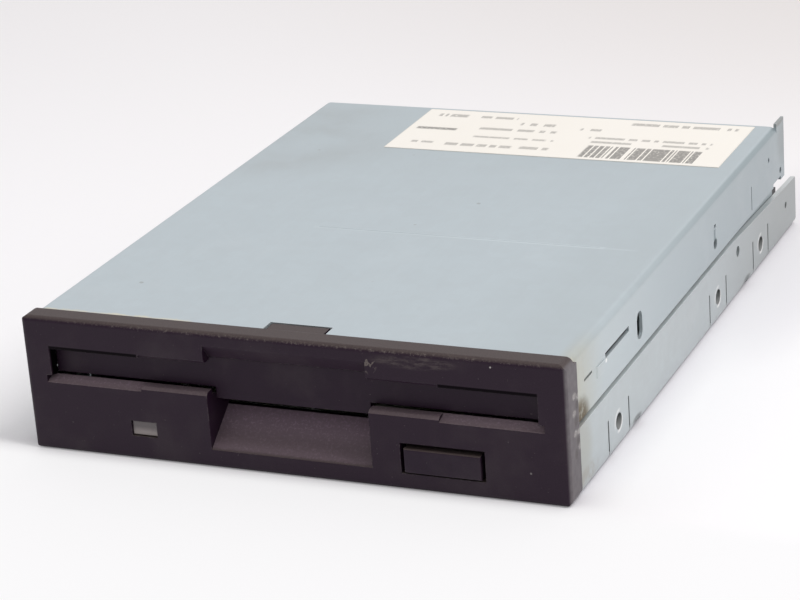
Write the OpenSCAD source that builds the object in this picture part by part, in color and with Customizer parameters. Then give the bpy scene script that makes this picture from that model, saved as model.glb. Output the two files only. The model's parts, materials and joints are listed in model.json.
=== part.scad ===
// Floppy disk drive for 90 mm cartridges: moulded bezel, sheet steel chassis and cover,
// load and eject mechanism, spindle motor, head carriage with lead screw, and two circuit boards.
// Every piece is drawn with y measured back from the bezel face, and placed() moves it into the frame.

/* [Body] */
// Overall width
body_w = 101.6; // [100:0.2:108]
// Overall height
body_h = 25.4; // [25:0.1:30]
// Depth from the bezel face to the rear edge of the chassis
body_d = 142; // [141:0.5:160]

/* [Sheet metal] */
// Thickness of the chassis sheet
chassis_t = 1; // [0.8:0.05:1.2]
// Thickness of the cover sheet
cover_t = 0.6; // [0.5:0.05:0.7]
// Outer bend radius of the cover and chassis
bend_r = 1.5; // [1.3:0.1:2.5]
// Height of the chassis side walls
wall_h = 12.2; // [11:0.1:13]
// Height of the chassis side walls at their rear end
wall_rear_h = 10.2; // [9:0.1:11]
// Distance from the bezel face to the rear edge of the cover's top
cover_rear = 130; // [126:0.5:134]
// How far the cover's top lies below the bezel's top
cover_drop = 0.6; // [0.4:0.05:1]
// How far the cover's skirts lie inside the chassis width, on each side
cover_inset = 0.45; // [0.4:0.05:0.5]

/* [Bezel] */
// Thickness of the front wall
bezel_wall = 2.2; // [1.8:0.1:2.4]
// Thickness of the side and bottom rims
bezel_rim = 1.6; // [1.2:0.1:2]
// Depth of the side and bottom rims
bezel_side_d = 5.4; // [5:0.1:6.2]
// Depth of the top rim in front of the cover
bezel_top_d = 4.1; // [3.8:0.1:4.8]
// Radius of the front edges
bezel_r = 0.9; // [0.5:0.1:1.4]
// Radius of the four corners, seen from the front
bezel_corner_r = 1.4; // [0.8:0.1:1.5]
// Height of the disk slot
slot_h = 5.5; // [5.3:0.1:5.9]
// Drop of the lead-in chamfer below the slot
lip_drop = 0.9; // [0.5:0.1:1.2]
// Width of the finger recess
finger_w = 30.4; // [26:0.2:34]
// Width between the two steps of the lower lip
lip_step_w = 56; // [46:0.5:64]
// Height of the thumb recess above the slot
thumb_h = 3.4; // [2.4:0.1:3.8]
// Height of the foot of the finger ramp
ramp_foot = 3.4; // [2.6:0.1:4.2]
// Height of the top of the finger ramp
ramp_top = 9.2; // [8.4:0.1:9.8]
// Depth of the finger ramp
ramp_d = 8; // [7:0.1:9]
// Width of the tongue that hooks under the cover
tongue_w = 10.8; // [8:0.2:14]
// Thickness of the dust flap
flap_t = 1.2; // [1:0.05:1.4]
// Radius of the dust flap's hinge pins
flap_pin_r = 0.8; // [0.6:0.05:0.9]
// Angle the dust flap opens
flap_open = 80; // [70:1:84]

/* [Button and lamp] */
// Width of the eject button
button_w = 13.9; // [12:0.1:15]
// Height of the eject button
button_h = 4.4; // [3.8:0.1:5]
// Distance of the button's middle from the drive's middle
button_x = 28.2; // [27:0.1:29]
// Height of the button's middle
button_z = 5.55; // [5.4:0.05:6]
// How far the button stands proud of the bezel
button_proud = 0.4; // [0.2:0.1:1.4]
// Travel of the eject button and slider
eject_travel = 4; // [3.6:0.1:4.2]
// Width of the lamp window
lamp_w = 4.8; // [4:0.1:6]
// Height of the lamp window
lamp_h = 2.7; // [2:0.1:3.2]
// Distance of the lamp from the drive's middle
lamp_x = 28.2; // [24:0.1:32]
// Height of the lamp's middle
lamp_z = 5.9; // [5.4:0.1:6.4]

/* [Disk and loading] */
// Thickness of a disk cartridge
disk_t = 3.3; // [3.1:0.05:3.5]
// Length of a disk cartridge
disk_l = 94; // [92:0.2:95]
// Distance from the bezel face to the near edge of a loaded disk
disk_front = 6; // [5.6:0.1:7]
// Height the disk drops when it loads
disk_drop = 2.4; // [2.2:0.05:2.5]
// Distance from the drive's top to the middle of the disk slot
slot_depth = 8.65; // [8.4:0.05:8.9]
// Room for the disk inside the holder
holder_play = 1; // [0.9:0.05:1.1]
// Thickness of the disk holder's sheet
holder_t = 0.8; // [0.7:0.05:0.9]
// Thickness of the eject slider's sheet
slider_t = 0.8; // [0.7:0.05:0.9]
// Thickness of the trigger lever
lever_t = 0.7; // [0.6:0.05:0.8]
// Radius of the holder and guide pins
pin_r = 1; // [0.8:0.05:1.1]
// Turn of the trigger lever from waiting to loaded
lever_turn = 35; // [35:0.5:38]

/* [Spindle] */
// Distance from the disk's inner edge to its hub
hub_offset = 46; // [45:0.1:47]
// Outer radius of the motor's rotor
rotor_r = 17.3; // [16.8:0.1:18]
// Wall of the rotor cup
rotor_t = 0.8; // [0.6:0.05:1]
// Radius of the disk chuck
chuck_r = 12.5; // [11.5:0.1:14]
// Radius of the spindle shaft
shaft_r = 1.5; // [1.3:0.05:2]
// Number of stator poles
pole_count = 12; // [9:3:12]

/* [Heads] */
// Radius of track zero on the disk
track_zero_r = 39.5; // [39:0.1:40]
// Distance from one track to the next
track_pitch = 0.1875; // [0.18:0.0025:0.19]
// Number of tracks
track_count = 80; // [40:1:82]
// Lead of the stepper's screw
screw_lead = 3.75; // [3:0.25:4]
// Outer radius of the lead screw
screw_r = 1.5; // [1.4:0.05:1.7]
// Radius of the guide rods
rod_r = 1.5; // [1.2:0.05:1.6]
// Radius of the stepper motor
stepper_r = 7.6; // [7:0.1:7.8]
// Length from the head arm's hinge to the head
arm_l = 32; // [31:0.1:33]
// Angle the head arm stands up while no disk is in
arm_lift = 9; // [8.8:0.05:9.2]

/* [Boards and connectors] */
// Thickness of the circuit boards
board_t = 1.2; // [1:0.1:1.4]
// Height of the standoffs under the boards
standoff_h = 1.2; // [1:0.1:1.4]
// Pitch of the signal connector's pins
signal_pitch = 2.54; // [2:0.02:2.54]
// Number of pin columns in the signal connector
signal_columns = 17; // [13:1:17]
// Pitch of the power connector's pins
power_pitch = 2.5; // [2:0.1:2.54]
// Width of the square contact pins
contact_w = 0.64; // [0.5:0.02:0.7]
// Travel of the sensor switches
switch_travel = 2; // [1.6:0.1:2.2]

/* [Mounting] */
// Radius of the threaded mounting holes
mount_r = 1.5; // [1.25:0.05:1.6]
// Height of the side holes
side_hole_z = 5; // [4.9:0.1:5.6]
// Distance from the bezel face to the first side hole
side_hole_y = 25; // [24.5:0.1:25.5]
// Distance from the first side hole to the middle one
side_pitch_mid = 60; // [59:0.1:60.5]
// Distance from the first side hole to the last one
side_pitch_far = 90; // [88:0.1:91]
// Distance between the two rows of bottom holes
bottom_pitch_x = 95.25; // [94:0.05:95.4]
// Distance from the bezel face to the first bottom hole
bottom_hole_y = 35; // [34.5:0.1:35.5]
// Distance from front to rear bottom holes
bottom_pitch_y = 70; // [69.5:0.1:71]

/* [Rating label] */
// Width of the label on the cover
label_w = 71; // [50:0.5:72]
// Depth of the label on the cover
label_d = 26.2; // [20:0.2:28]
// Thickness of the label
label_t = 0.1; // [0.08:0.01:0.15]

/* [Clearances] */
// Gap between sheets that slide past each other
run_gap = 0.4; // [0.35:0.05:0.45]
// Gap round a pin in a slot or a part in a window
slot_gap = 0.1; // [0.05:0.01:0.12]
// Gap round a shaft, rod or hinge pin in its bore
bore_gap = 0.04; // [0.02:0.01:0.06]
// Gap between parts that are glued, nested or butted
seat_gap = 0.05; // [0.03:0.01:0.08]
// Gap at either side of the eject button
button_gap = 0.7; // [0.4:0.05:0.8]
// Gap over the eject button
button_top_gap = 0.9; // [0.4:0.05:1]
// Gap under the eject button
button_foot_gap = 0.3; // [0.25:0.05:0.5]

/* [Hidden] */
$fn = 48;

// Small overshoot that lets cuts pass clean through
over = 1;

// How far the flat sides of a slot lie inside its round ends
slot_ease = 0.004;

// Frame: bounding box bottom centre
overall_d = body_d + button_proud;
face_y = button_proud - overall_d / 2;

// Half widths, from the chassis wall inwards
half = body_w / 2;
wall_in = half - chassis_t;
skirt_out = half - cover_inset;
skirt_in = skirt_out - cover_t;
tuck_out = min(wall_in, skirt_in) - seat_gap;
tuck_in = tuck_out - cover_t;
ear_out = tuck_in - 0.3;
ear_in = ear_out - chassis_t;
slider_out = ear_in - run_gap;
slider_in = slider_out - slider_t;
holder_out = slider_in - run_gap;
holder_in = holder_out - holder_t;

// Heights of the outer shell
cover_z = body_h - cover_drop;
cover_under = cover_z - cover_t;
floor_z = chassis_t;
board_z = floor_z + standoff_h;
board_top = board_z + board_t;
seam_z = wall_h + 0.5;

// Heights of the disk and its holder while no disk is in
slot_z = body_h - slot_depth;
slot_low = slot_z - slot_h / 2;
slot_high = slot_z + slot_h / 2;
bay_low = slot_z - disk_t / 2 - holder_play / 2;
bay_high = bay_low + disk_t + holder_play;
holder_top = bay_high + holder_t;
lever_z = holder_top + 0.15;
lever_top = lever_z + lever_t;
slider_z = lever_top + 0.75;
slider_top = slider_z + slider_t;
pin_z = slot_z + 0.45;

// Heights of a loaded disk
disk_low = slot_z - disk_drop - disk_t / 2;
media_z = slot_z - disk_drop;
chuck_top = disk_low + 0.2;

// Distances back from the bezel face
body_front = bezel_side_d + seat_gap;
cover_front = bezel_top_d + 0.2;
spindle_y = disk_front + disk_l - hub_offset;
head_y = spindle_y + track_zero_r;
head_travel = (track_count - 1) * track_pitch;
holder_front = 14;
holder_rear = disk_front + disk_l + 1;
slider_front = 22;
slider_rear = holder_rear + 4.5;
slider_window = spindle_y + 12;

// Lightening holes of the holder and the slider
holder_hole_x = [-24, -8, 8, 24];
slider_hole_x = [-20, 0, 20];
slider_hole_y = [slider_front + 8, slider_front + 18, slider_front + 28];

// Bezel details
slot_half = holder_in + 0.3;
lip_half = slot_half + 1;
finger_half = finger_w / 2;
ramp_t = 1.5;
cheek_t = 1.2;
edge_ease = 0.5;
bezel_top_t = 2.2;
tongue_rear = bezel_top_d + 4.1;
tongue_hook_d = 2.6;

// Dust flap
flap_y = bezel_wall + run_gap;
flap_hinge = [flap_y + flap_t + 0.1, slot_high + 1.7];
flap_barrel_r = flap_pin_r + 0.3;
flap_half = slot_half + 0.2;
flap_low = slot_low + 0.3;
flap_tongue_low = slot_low - 1.8;
flap_bracket = [flap_half + run_gap, flap_half + run_gap + 1.8];
flap_coil = [-40, -34];

// Eject button stem and the slider's arm
stem_half = 2;
arm_y = [bottom_hole_y - 4.5, bottom_hole_y - 1.5];
arm_z = [4.6, 5.4];
stem_rear = arm_y[1] - 0.5;

// Lamp bar: how far its face lies behind the bezel's, and its length behind the wall
lamp_sink = 0.4;
lamp_bar = 4;

// Cover: corners of its front edge that stand forward, a pressed line, and places along its skirts
jog_x = [27, 43];
jog_d = 0.8;
crease_x = [-18, 38];
crease_y = 55;
crease_deep = 0.03;
skirt_slit_y = [9.9, 13.9];
bridge_y = [15.4, 20.7];
bridge_slot_y = [20.8, 33.5];
oval_y = 39.4;
hook_y = 85.7;
dent_y = 111;
pip_y = 123.8;
hook_hole_r = 1.1;
skirt_end = cover_rear + 5.4;
skirt_notch = [cover_rear - 3, cover_rear + 2.6];

// Chassis: notches of the lower edge, small holes of the walls, vents of the floor
notches_y = [[33, 36.6], [101.8, 105.6]];
notch_h = 1.2;
wall_hole = [99, 9.2];
wall_dimple = [134.3, 6.6];
vent_x = [-30, -15, 0, 15, 30];
vent_y = [82, 88];

// Ears of the chassis, with the pins that guide the slider and hold the disk holder
ears_y = [[38.5, 56], [87.9, holder_rear + 0.5]];
holder_pin_y = [ears_y[0][0] + 4.5, ears_y[1][1] - 3.5];
guide_pin_y = [ears_y[0][1] - 4, ears_y[1][0] + 1.7];
guide_pin_z = slot_z - 1.25;
ear_h = pin_z + 1.8;

// Posts under a loaded disk
datum_x = holder_in - 7.4;
datum_y = [38, 95];
datum_r = 2;

// Trigger lever
lever_pivot = [9.4 - holder_in, holder_rear - 9];
lever_arm = 24;
lever_start = -20;
lever_hook = 7.2;
lever_pin_r = 1.5;
lever_window = [-5.2, 5.1];

// Eject springs
spring_x = holder_in - 9.4;
spring_front = 36;
spring_rear = 62;
spring_r = 0.75;
spring_wire = 0.15;
spring_turns = 14;
spring_z = slider_top + spring_r + spring_wire + 0.1;
spring_post_w = 1;

// Spindle motor
chuck_h = 3.1;
rotor_high = chuck_top - chuck_h;
rotor_under = rotor_high - rotor_t;
bearing_r = 4;
bearing_top = rotor_under - 0.4;
stator_z = [board_top + 0.9, rotor_under - 1.1];
stator_r = 13.6;
tooth_half = 0.9;
shoe_half = 2.2;
shoe_t = 1.2;
coil_pad = 0.7;
rotor_low = board_top + 0.5;
magnet_t = 2.1;
shaft_top = disk_low + 1.7;
drive_pin_at = 9.5;
drive_pin_r = 1.1;

// Head positioner
screw_x = -20;
screw_z = 10.2;
screw_front = head_y - 6.5;
thread_y = [head_y - 4, head_y + 22];
stepper_front = head_y + 24.5;
stepper_l = 14;
journal_r = 1;
bush_r = 2.2;
bush_l = 1.6;
spigot_r = 2.4;
groove_depth = 0.45;
bracket_t = 1;
bracket_half = 5.7;
rod_main_x = 14;
rod_side_x = -10;
rod_z = 8;
rod_front = head_y - 15.5;
rod_main_rear = head_y + 33.7;
rod_side_rear = head_y + 23.5;
sensor_x = [6.4, 12.4];
rod_lug_t = 1.2;
rod_lug_top = rod_z + 3;
carriage_z = [5.2, 11.6];
carriage_y = [head_y + 8, head_y + 18];
post_y = [head_y + 26, head_y + 36];
follower_y = head_y + 13.5;
arm_hinge = [head_y + arm_l, media_z + 2.85];
arm_t = 1.6;
arm_half = 6;
arm_barrel_r = 1.9;
arm_pin_r = 0.9;
arm_window = 7;
wing_at = [16.9, 19];
wing_x = 13;
head_half = [1.6, 2.2];
head_gap = 0.05;

// Circuit boards
motor_board_half = bottom_pitch_x / 2 - 3.2;
motor_board_y = [10, 76];
logic_board_half = tuck_in - 0.6;
logic_board_y = [bottom_hole_y + bottom_pitch_y + 4, body_d - 2.5];
logic_gap_x = [-29.5, 20];
logic_gap_rear = body_d - 6;
motor_screws = [[-20, 14], [20, 14], [-40, 72], [40, 72]];
logic_screws = [[-42, 112.5], [42, 112.5], [-40, 126], [40, 126.5]];
standoff_r = 2.6;
screw_shank_r = 1;
screw_head_r = 2.1;
screw_head_h = 1.2;
chip_size = [9, 7, 2.2];
chips_at = [
    [34, logic_board_y[0] + 9.5], [-37, logic_board_y[0] + 10],
    [-31, motor_board_y[1] - 10], [31, motor_board_y[1] - 10]
];
signal_half = (signal_columns * signal_pitch + 2.6) / 2;
signal_x = logic_board_half - 2.5 - signal_half;
signal_y = [body_d - 11, body_d - 7.5];
signal_z = board_top + 3.7;
signal_end_t = 1.2;
ribbon_w = 4.6;
ribbon_right = signal_x - signal_half - signal_end_t / 2 - 1.5;
ribbon_x = [ribbon_right - ribbon_w, ribbon_right];
ribbon_socket = 0.9;
power_pins_n = 4;
power_half = ((power_pins_n - 1) * power_pitch + 4.4) / 2;
power_x = 9 - logic_board_half;
power_y = [body_d - 12, body_d - 1];
switch_y = 16.5;
switch_x = [4.4 - holder_in, holder_in - 4.4, 11.4 - holder_in];
switch_half = [3, 3, 2.5];
switch_top = 10.5;
plunger_r = 1;
plunger_top = disk_low + 1.5;

// Mounting holes
side_hole_ys = [side_hole_y, side_hole_y + side_pitch_mid, side_hole_y + side_pitch_far];
bottom_hole_ys = [bottom_hole_y, bottom_hole_y + bottom_pitch_y];
collar_r = mount_r + 0.9;
side_collar_l = wall_in - ear_out;
bottom_collar_h = 1.2;
tab_half = 5.5;
tab_h = 7.4;
slit_w = 0.6;

// Moves a drawing from the bezel face into the frame
module placed() {
    translate([0, face_y, 0]) children();
}

// Box between the given pairs of x, y and z
module block(x, y, z) {
    translate([x[0], y[0], z[0]]) cube([x[1] - x[0], y[1] - y[0], z[1] - z[0]]);
}

// The children and their mirror image across the middle of the drive
module both_sides() {
    children();
    mirror([1, 0, 0]) children();
}

// Cylinders along each axis
module round_x(r, x, y, z) {
    translate([x[0], y, z]) rotate([0, 90, 0]) cylinder(r = r, h = x[1] - x[0]);
}

module round_y(r, x, y, z) {
    translate([x, y[0], z]) rotate([-90, 0, 0]) cylinder(r = r, h = y[1] - y[0]);
}

module round_z(r, x, y, z) {
    translate([x, y, z[0]]) cylinder(r = r, h = z[1] - z[0]);
}

// Slot with round ends through a side wall, between two [y, z] points
module wall_slot(r, x, from, to) {
    side = r - slot_ease;
    along_x(x) {
        translate(from) circle(r);
        translate(to) circle(r);
        translate(from) rotate(atan2(to[1] - from[1], to[0] - from[0]))
            translate([0, -side]) square([norm(to - from), 2 * side]);
    }
}

// Outlines given as [y, z], [x, z] or [y, x], extruded along x, y or z
module along_x(x) {
    translate([x[0], 0, 0]) rotate([90, 0, 90]) linear_extrude(x[1] - x[0]) children();
}

module along_y(y) {
    translate([0, y[1], 0]) rotate([90, 0, 0]) linear_extrude(y[1] - y[0]) children();
}

module along_z(z) {
    translate([0, 0, z[0]]) linear_extrude(z[1] - z[0]) rotate([0, 0, 90]) children();
}

// Rectangle whose two corners on its first side are rounded
module nosed(a, b, r) {
    translate([a[0] + r, b[0]]) square([a[1] - a[0] - r, b[1] - b[0]]);
    translate([a[0], b[0] + r]) square([2 * r, b[1] - b[0] - 2 * r]);
    for (corner = [b[0] + r, b[1] - r]) translate([a[0] + r, corner]) circle(r);
}

// Rectangle with four rounded corners
module rounded(a, b, r) {
    translate([a[0] + r, b[0]]) square([a[1] - a[0] - 2 * r, b[1] - b[0]]);
    translate([a[0], b[0] + r]) square([a[1] - a[0], b[1] - b[0] - 2 * r]);
    for (u = [a[0] + r, a[1] - r], v = [b[0] + r, b[1] - r]) translate([u, v]) circle(r);
}

// Helix along x: a list of points, with 8 to a turn
function helix(r, turns, pitch) = [
    for (i = [0 : turns * 8]) [i * pitch / 8, r * cos(i * 45), r * sin(i * 45)]
];

// Least gap between one turn of a helix and the next
function helix_gap(points, wire) = min([
    for (i = [0 : len(points) - 5]) for (j = [i + 4 : len(points) - 1]) norm(points[i] - points[j])
]) - 2 * wire;

// Ring of points round one point of a wire that winds about the x axis
function wire_ring(points, i, wire, sides) =
    let (
        last = len(points) - 1,
        run = points[min(i + 1, last)] - points[max(i - 1, 0)],
        ahead = run / norm(run),
        across = cross(ahead, [1, 0, 0]),
        outward = across / norm(across),
        along = cross(outward, ahead)
    )
    [
        for (k = [0 : sides - 1])
            let (turn = k * 360 / sides)
            points[i] + wire * (cos(turn) * outward + sin(turn) * along)
    ];

// Wire of round section along a helix about x, as one closed surface
module wound_wire(points, wire, sides = 6) {
    rings = len(points);
    ring_points = [for (i = [0 : rings - 1]) each wire_ring(points, i, wire, sides)];
    walls = [
        for (i = [0 : rings - 2]) for (k = [0 : sides - 1])
            let (
                a = i * sides + k,
                b = i * sides + (k + 1) % sides
            )
            each [[a, b, b + sides], [a, b + sides, a + sides]]
    ];
    near_end = [for (k = [1 : sides - 2]) [0, k + 1, k]];
    far = (rings - 1) * sides;
    far_end = [for (k = [1 : sides - 2]) [far, far + k, far + k + 1]];
    polyhedron(ring_points, concat(walls, near_end, far_end));
}

// Front moulding

// Outer form of the bezel: the three silhouettes with rounded edges meet in one block
module bezel_block() {
    intersection() {
        along_y([0, bezel_side_d]) rounded([-half, half], [0, body_h], bezel_corner_r);
        along_x([-half, half]) nosed([0, bezel_side_d], [0, body_h], bezel_r);
        along_z([0, body_h]) nosed([0, bezel_side_d], [-half, half], bezel_r);
    }
}

// Hollow behind the front wall, and the step under the cover's front edge
module bezel_hollow() {
    block([bezel_rim - half, half - bezel_rim], [bezel_wall, bezel_side_d + over],
        [bezel_rim, body_h - bezel_top_t]);
    block([-half - over, half + over], [bezel_top_d, bezel_side_d + over],
        [cover_under - 0.2, body_h + over]);
}

// Height of the finger ramp at a depth
function ramp_z(y) = ramp_foot + (ramp_top - ramp_foot) * y / ramp_d;

// Sloping floor and side cheeks of the finger recess
module finger_tray() {
    along_x([-finger_half - cheek_t, finger_half + cheek_t])
        polygon([
            [bezel_r, ramp_z(bezel_r)], [ramp_d, ramp_top], [ramp_d, ramp_top - ramp_t],
            [bezel_wall, ramp_z(bezel_wall) - ramp_t], [bezel_r, ramp_foot - ramp_t]
        ]);
    both_sides() along_x([finger_half, finger_half + cheek_t])
        polygon([
            [bezel_r, ramp_z(bezel_r)], [ramp_d, ramp_top - ramp_t], [ramp_d, ramp_top + 1.6],
            [bezel_wall + 0.6, slot_low - lip_drop], [bezel_r, slot_low - lip_drop]
        ]);
}

// Openings of the front: slot, lips, finger and thumb recesses
module bezel_openings() {
    block([-slot_half, slot_half], [-over, bezel_wall + over], [slot_low, slot_high]);
    both_sides() {
        along_x([lip_step_w / 2, lip_half])
            polygon([[0, slot_low - lip_drop], [bezel_wall, slot_low], [0, slot_low + 0.5]]);
        along_x([finger_half - over, lip_step_w / 2])
            polygon([[0, slot_low - edge_ease], [edge_ease, slot_low], [0, slot_low + edge_ease]]);
        along_x([finger_half - over, lip_step_w / 2])
            polygon([[0, slot_high + edge_ease], [edge_ease, slot_high], [0, slot_high - edge_ease]]);
    }
    along_x([-finger_half, finger_half])
        polygon([[-over, ramp_z(-over)], [ramp_d + over, ramp_z(ramp_d + over)],
            [ramp_d + over, slot_low + over], [-over, slot_low + over]]);
    along_x([-finger_half, finger_half])
        polygon([[0, slot_high + thumb_h], [bezel_wall, slot_high + 0.5], [bezel_wall, slot_high - 0.5],
            [0, slot_high - 0.5]]);
}

// Brackets that carry the dust flap's pins
module flap_brackets() {
    both_sides() block(flap_bracket, [bezel_wall - 0.5, bezel_side_d],
        [flap_hinge[1] - 2, body_h - bezel_top_t + 0.5]);
}

// Tongue flush with the cover, with a step that hooks under it
module bezel_tongue() {
    tongue_half = tongue_w / 2;
    block([-tongue_half, tongue_half], [bezel_top_d - 0.5, tongue_rear], [cover_under - 1, cover_z - 0.1]);
    block([-tongue_half, tongue_half], [tongue_rear - 0.5, tongue_rear + tongue_hook_d],
        [cover_under - 1.3, cover_under - 0.15]);
}

// Clips that reach back inside the chassis walls
module bezel_clips() {
    clip_z = [7, 11];
    both_sides() {
        block([ear_in - 1, ear_out - 0.2], [bezel_wall - 0.5, bezel_side_d + 4.5], clip_z);
        along_z(clip_z)
            polygon([[bezel_side_d + 2.2, 0.3 - ear_out], [bezel_side_d + 2.2, -tuck_in + 0.2],
                [bezel_side_d + 4.5, 0.3 - ear_out]]);
    }
}

module bezel() {
    color([0.2, 0.19, 0.2])
    difference() {
        union() {
            difference() {
                bezel_block();
                bezel_hollow();
            }
            finger_tray();
            flap_brackets();
            bezel_tongue();
            bezel_clips();
        }
        bezel_openings();
        block([button_x - button_w / 2 - button_gap, button_x + button_w / 2 + button_gap],
            [-over, bezel_wall + over],
            [button_z - button_h / 2 - button_foot_gap, button_z + button_h / 2 + button_top_gap]);
        block([-lamp_x - lamp_w / 2 - slot_gap, -lamp_x + lamp_w / 2 + slot_gap],
            [-over, bezel_wall + over],
            [lamp_z - lamp_h / 2 - slot_gap, lamp_z + lamp_h / 2 + slot_gap]);
        both_sides() round_x(flap_pin_r + bore_gap, [flap_bracket[0] - over, flap_bracket[1] + over],
            flap_hinge[0], flap_hinge[1]);
    }
}

module dust_flap() {
    tongue_half = finger_half - 0.6;
    pin_end = flap_bracket[1] - 0.1;
    color([0.17, 0.16, 0.17])
    union() {
        difference() {
            union() {
                block([-flap_half, flap_half], [flap_y, flap_y + flap_t], [flap_low, flap_hinge[1]]);
                block([-tongue_half, tongue_half], [flap_y, flap_y + flap_t],
                    [flap_tongue_low, flap_low + 0.5]);
                round_x(flap_barrel_r, [-flap_half, flap_half], flap_hinge[0], flap_hinge[1]);
            }
            block([flap_coil[0] - 0.5, flap_coil[1] + 0.5], [flap_y - over, flap_y + 4],
                [flap_hinge[1] - 1.5, flap_hinge[1] + 4]);
        }
        round_x(flap_pin_r, [-pin_end, pin_end], flap_hinge[0], flap_hinge[1]);
    }
}

// Torsion spring round the flap's pin
module flap_spring() {
    turns = 6;
    wire = 0.18;
    points = helix(flap_pin_r + wire + 0.25, turns, (flap_coil[1] - flap_coil[0] - 0.6) / turns);
    echo(flap_spring_gap = helix_gap(points, wire));
    color("silver")
    translate([flap_coil[0] + 0.3, flap_hinge[0], flap_hinge[1]]) wound_wire(points, wire);
}

// Eject button with its guide box and the stem that grips the slider's arm
module eject_button() {
    cap_d = eject_travel + bezel_wall + 1;
    edge_r = 0.3;
    x = [button_x - button_w / 2, button_x + button_w / 2];
    z = [button_z - button_h / 2, button_z + button_h / 2];
    color([0.19, 0.18, 0.19])
    difference() {
        union() {
            intersection() {
                along_x(x) nosed([-button_proud, cap_d], z, edge_r);
                along_z(z) nosed([-button_proud, cap_d], [-x[1], -x[0]], edge_r);
            }
            block([button_x - stem_half, button_x + stem_half], [cap_d - 0.5, stem_rear],
                [arm_z[0] - 0.9, arm_z[1] + 0.9]);
        }
        block([button_x - stem_half - over, button_x + stem_half + over],
            [arm_y[0] - seat_gap, stem_rear + over], [arm_z[0] - seat_gap, arm_z[1] + seat_gap]);
        block([x[0] + 1.2, button_x - stem_half], [bezel_wall, cap_d + over], [z[0] + 1, z[1] - 1]);
        block([button_x + stem_half, x[1] - 1.2], [bezel_wall, cap_d + over], [z[0] + 1, z[1] - 1]);
    }
}

// Clear bar that brings the lamp's light to the bezel, with a collar behind the wall
module light_pipe() {
    collar_t = 0.9;
    x = [-lamp_x - lamp_w / 2, -lamp_x + lamp_w / 2];
    z = [lamp_z - lamp_h / 2, lamp_z + lamp_h / 2];
    color([0.8, 0.8, 0.76])
    union() {
        along_x(x) nosed([lamp_sink, bezel_wall + lamp_bar], z, 0.2);
        block([x[0] - 0.8, x[1] + 0.8], [bezel_wall + seat_gap, bezel_wall + collar_t],
            [z[0] - 0.7, z[1] + 0.7]);
    }
}

module activity_led() {
    lamp_front = bezel_wall + lamp_bar + seat_gap;
    lead_y = [motor_board_y[0] + 0.4, motor_board_y[0] + 0.9];
    x = [-lamp_x - 2.5, -lamp_x + 2.5];
    color([0.75, 0.85, 0.7])
    union() {
        along_x(x) nosed([lamp_front, lamp_front + 5], [lamp_z - 1.3, lamp_z + 1.3], 0.4);
        for (side = [-1.27, 1.27])
            block([side - lamp_x - 0.25, side - lamp_x + 0.25], lead_y, [board_top, lamp_z]);
    }
}

// Sheet metal shell

// Folded section of the cover: top and two skirts, with round bends
module cover_section() {
    difference() {
        nosed_down(skirt_out, cover_z, bend_r);
        nosed_down(skirt_in, cover_under, bend_r - cover_t);
    }
}

// Block from the seam up, with its two upper corners rounded
module nosed_down(reach, top, r) {
    translate([-reach, seam_z]) square([2 * reach, top - seam_z - r]);
    translate([r - reach, seam_z]) square([2 * (reach - r), top - seam_z]);
    for (side = [-1, 1]) translate([side * (reach - r), top - r]) circle(r);
}

// Lower edge of the skirts, tucked inside the chassis walls
module skirt_tuck() {
    tuck_y = [body_front + 5, cover_rear - 12];
    both_sides() {
        block([tuck_in, tuck_out], tuck_y, [wall_h - 3, seam_z + 0.9]);
        block([tuck_in, skirt_in + 0.2], tuck_y, [seam_z, seam_z + 0.9]);
    }
}

// Cuts in the cover: front jogs, the notch for the bezel's tongue, a pressed line, the rear end
module cover_top_cuts() {
    through = [cover_under - over, cover_z + over];
    both_sides() block(jog_x, [cover_front - over, cover_front + jog_d], through);
    block([-tongue_w / 2 - 0.5, tongue_w / 2 + 0.5], [cover_front - over, tongue_rear + 0.3], through);
    block(crease_x, [crease_y, crease_y + 0.5], [cover_z - crease_deep, cover_z + over]);
    block([-skirt_out - over, skirt_out + over], [cover_front - over, body_front], [0, cover_under]);
    block([-skirt_out - over, skirt_in], [cover_rear, body_d], [seam_z - 5, cover_z + over]);
}

// Cuts in the skirts: slits, the oval window, the hook's holes and the rear notch
module skirt_cuts() {
    x = [tuck_in - over, skirt_out + over];
    slit_z = cover_z - 6;
    both_sides() {
        block(x, skirt_slit_y, [slit_z - 0.25, slit_z + 0.25]);
        block(x, bridge_slot_y, [slit_z - 0.5, slit_z + 0.5]);
        wall_slot(1.5, x, [oval_y, cover_z - 8.8], [oval_y, cover_z - 6.6]);
        round_x(hook_hole_r, x, hook_y, cover_z - 9.2);
        block(x, [hook_y - 0.6, hook_y + 0.6], [slit_z, slit_z + 0.6]);
        block(x, [dent_y - 0.2, dent_y + 0.2], [seam_z + 0.7, slit_z - 0.4]);
        round_x(0.5, x, pip_y, slit_z + 0.9);
        block(x, skirt_notch, [seam_z - 5, cover_z - 11.3]);
        round_x(0.7, x, cover_rear + 2.4, cover_z - 10);
    }
}

// Lanced bridges and the hook that stand out of the skirts
module skirt_bridges() {
    bridge_out = 0.2;
    both_sides() {
        along_z([cover_z - 8.2, cover_z - 6.2])
            polygon([
                [bridge_y[0], -skirt_in - 0.1], [bridge_y[0] + 0.8, -skirt_out - bridge_out],
                [bridge_y[1] - 0.8, -skirt_out - bridge_out], [bridge_y[1], -skirt_in - 0.1]
            ]);
        block([skirt_in, skirt_out + bridge_out], [hook_y - 0.4, hook_y + 0.4],
            [cover_z - 8.2, cover_z - 6.2]);
    }
}

// The right skirt ends in a flat ear behind the top
module top_cover() {
    color([0.62, 0.68, 0.71])
    difference() {
        union() {
            along_y([cover_front, skirt_end]) cover_section();
            block([skirt_in, skirt_out], [cover_rear, skirt_end], [seam_z, body_h]);
            skirt_tuck();
            skirt_bridges();
        }
        cover_top_cuts();
        skirt_cuts();
    }
}

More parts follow.
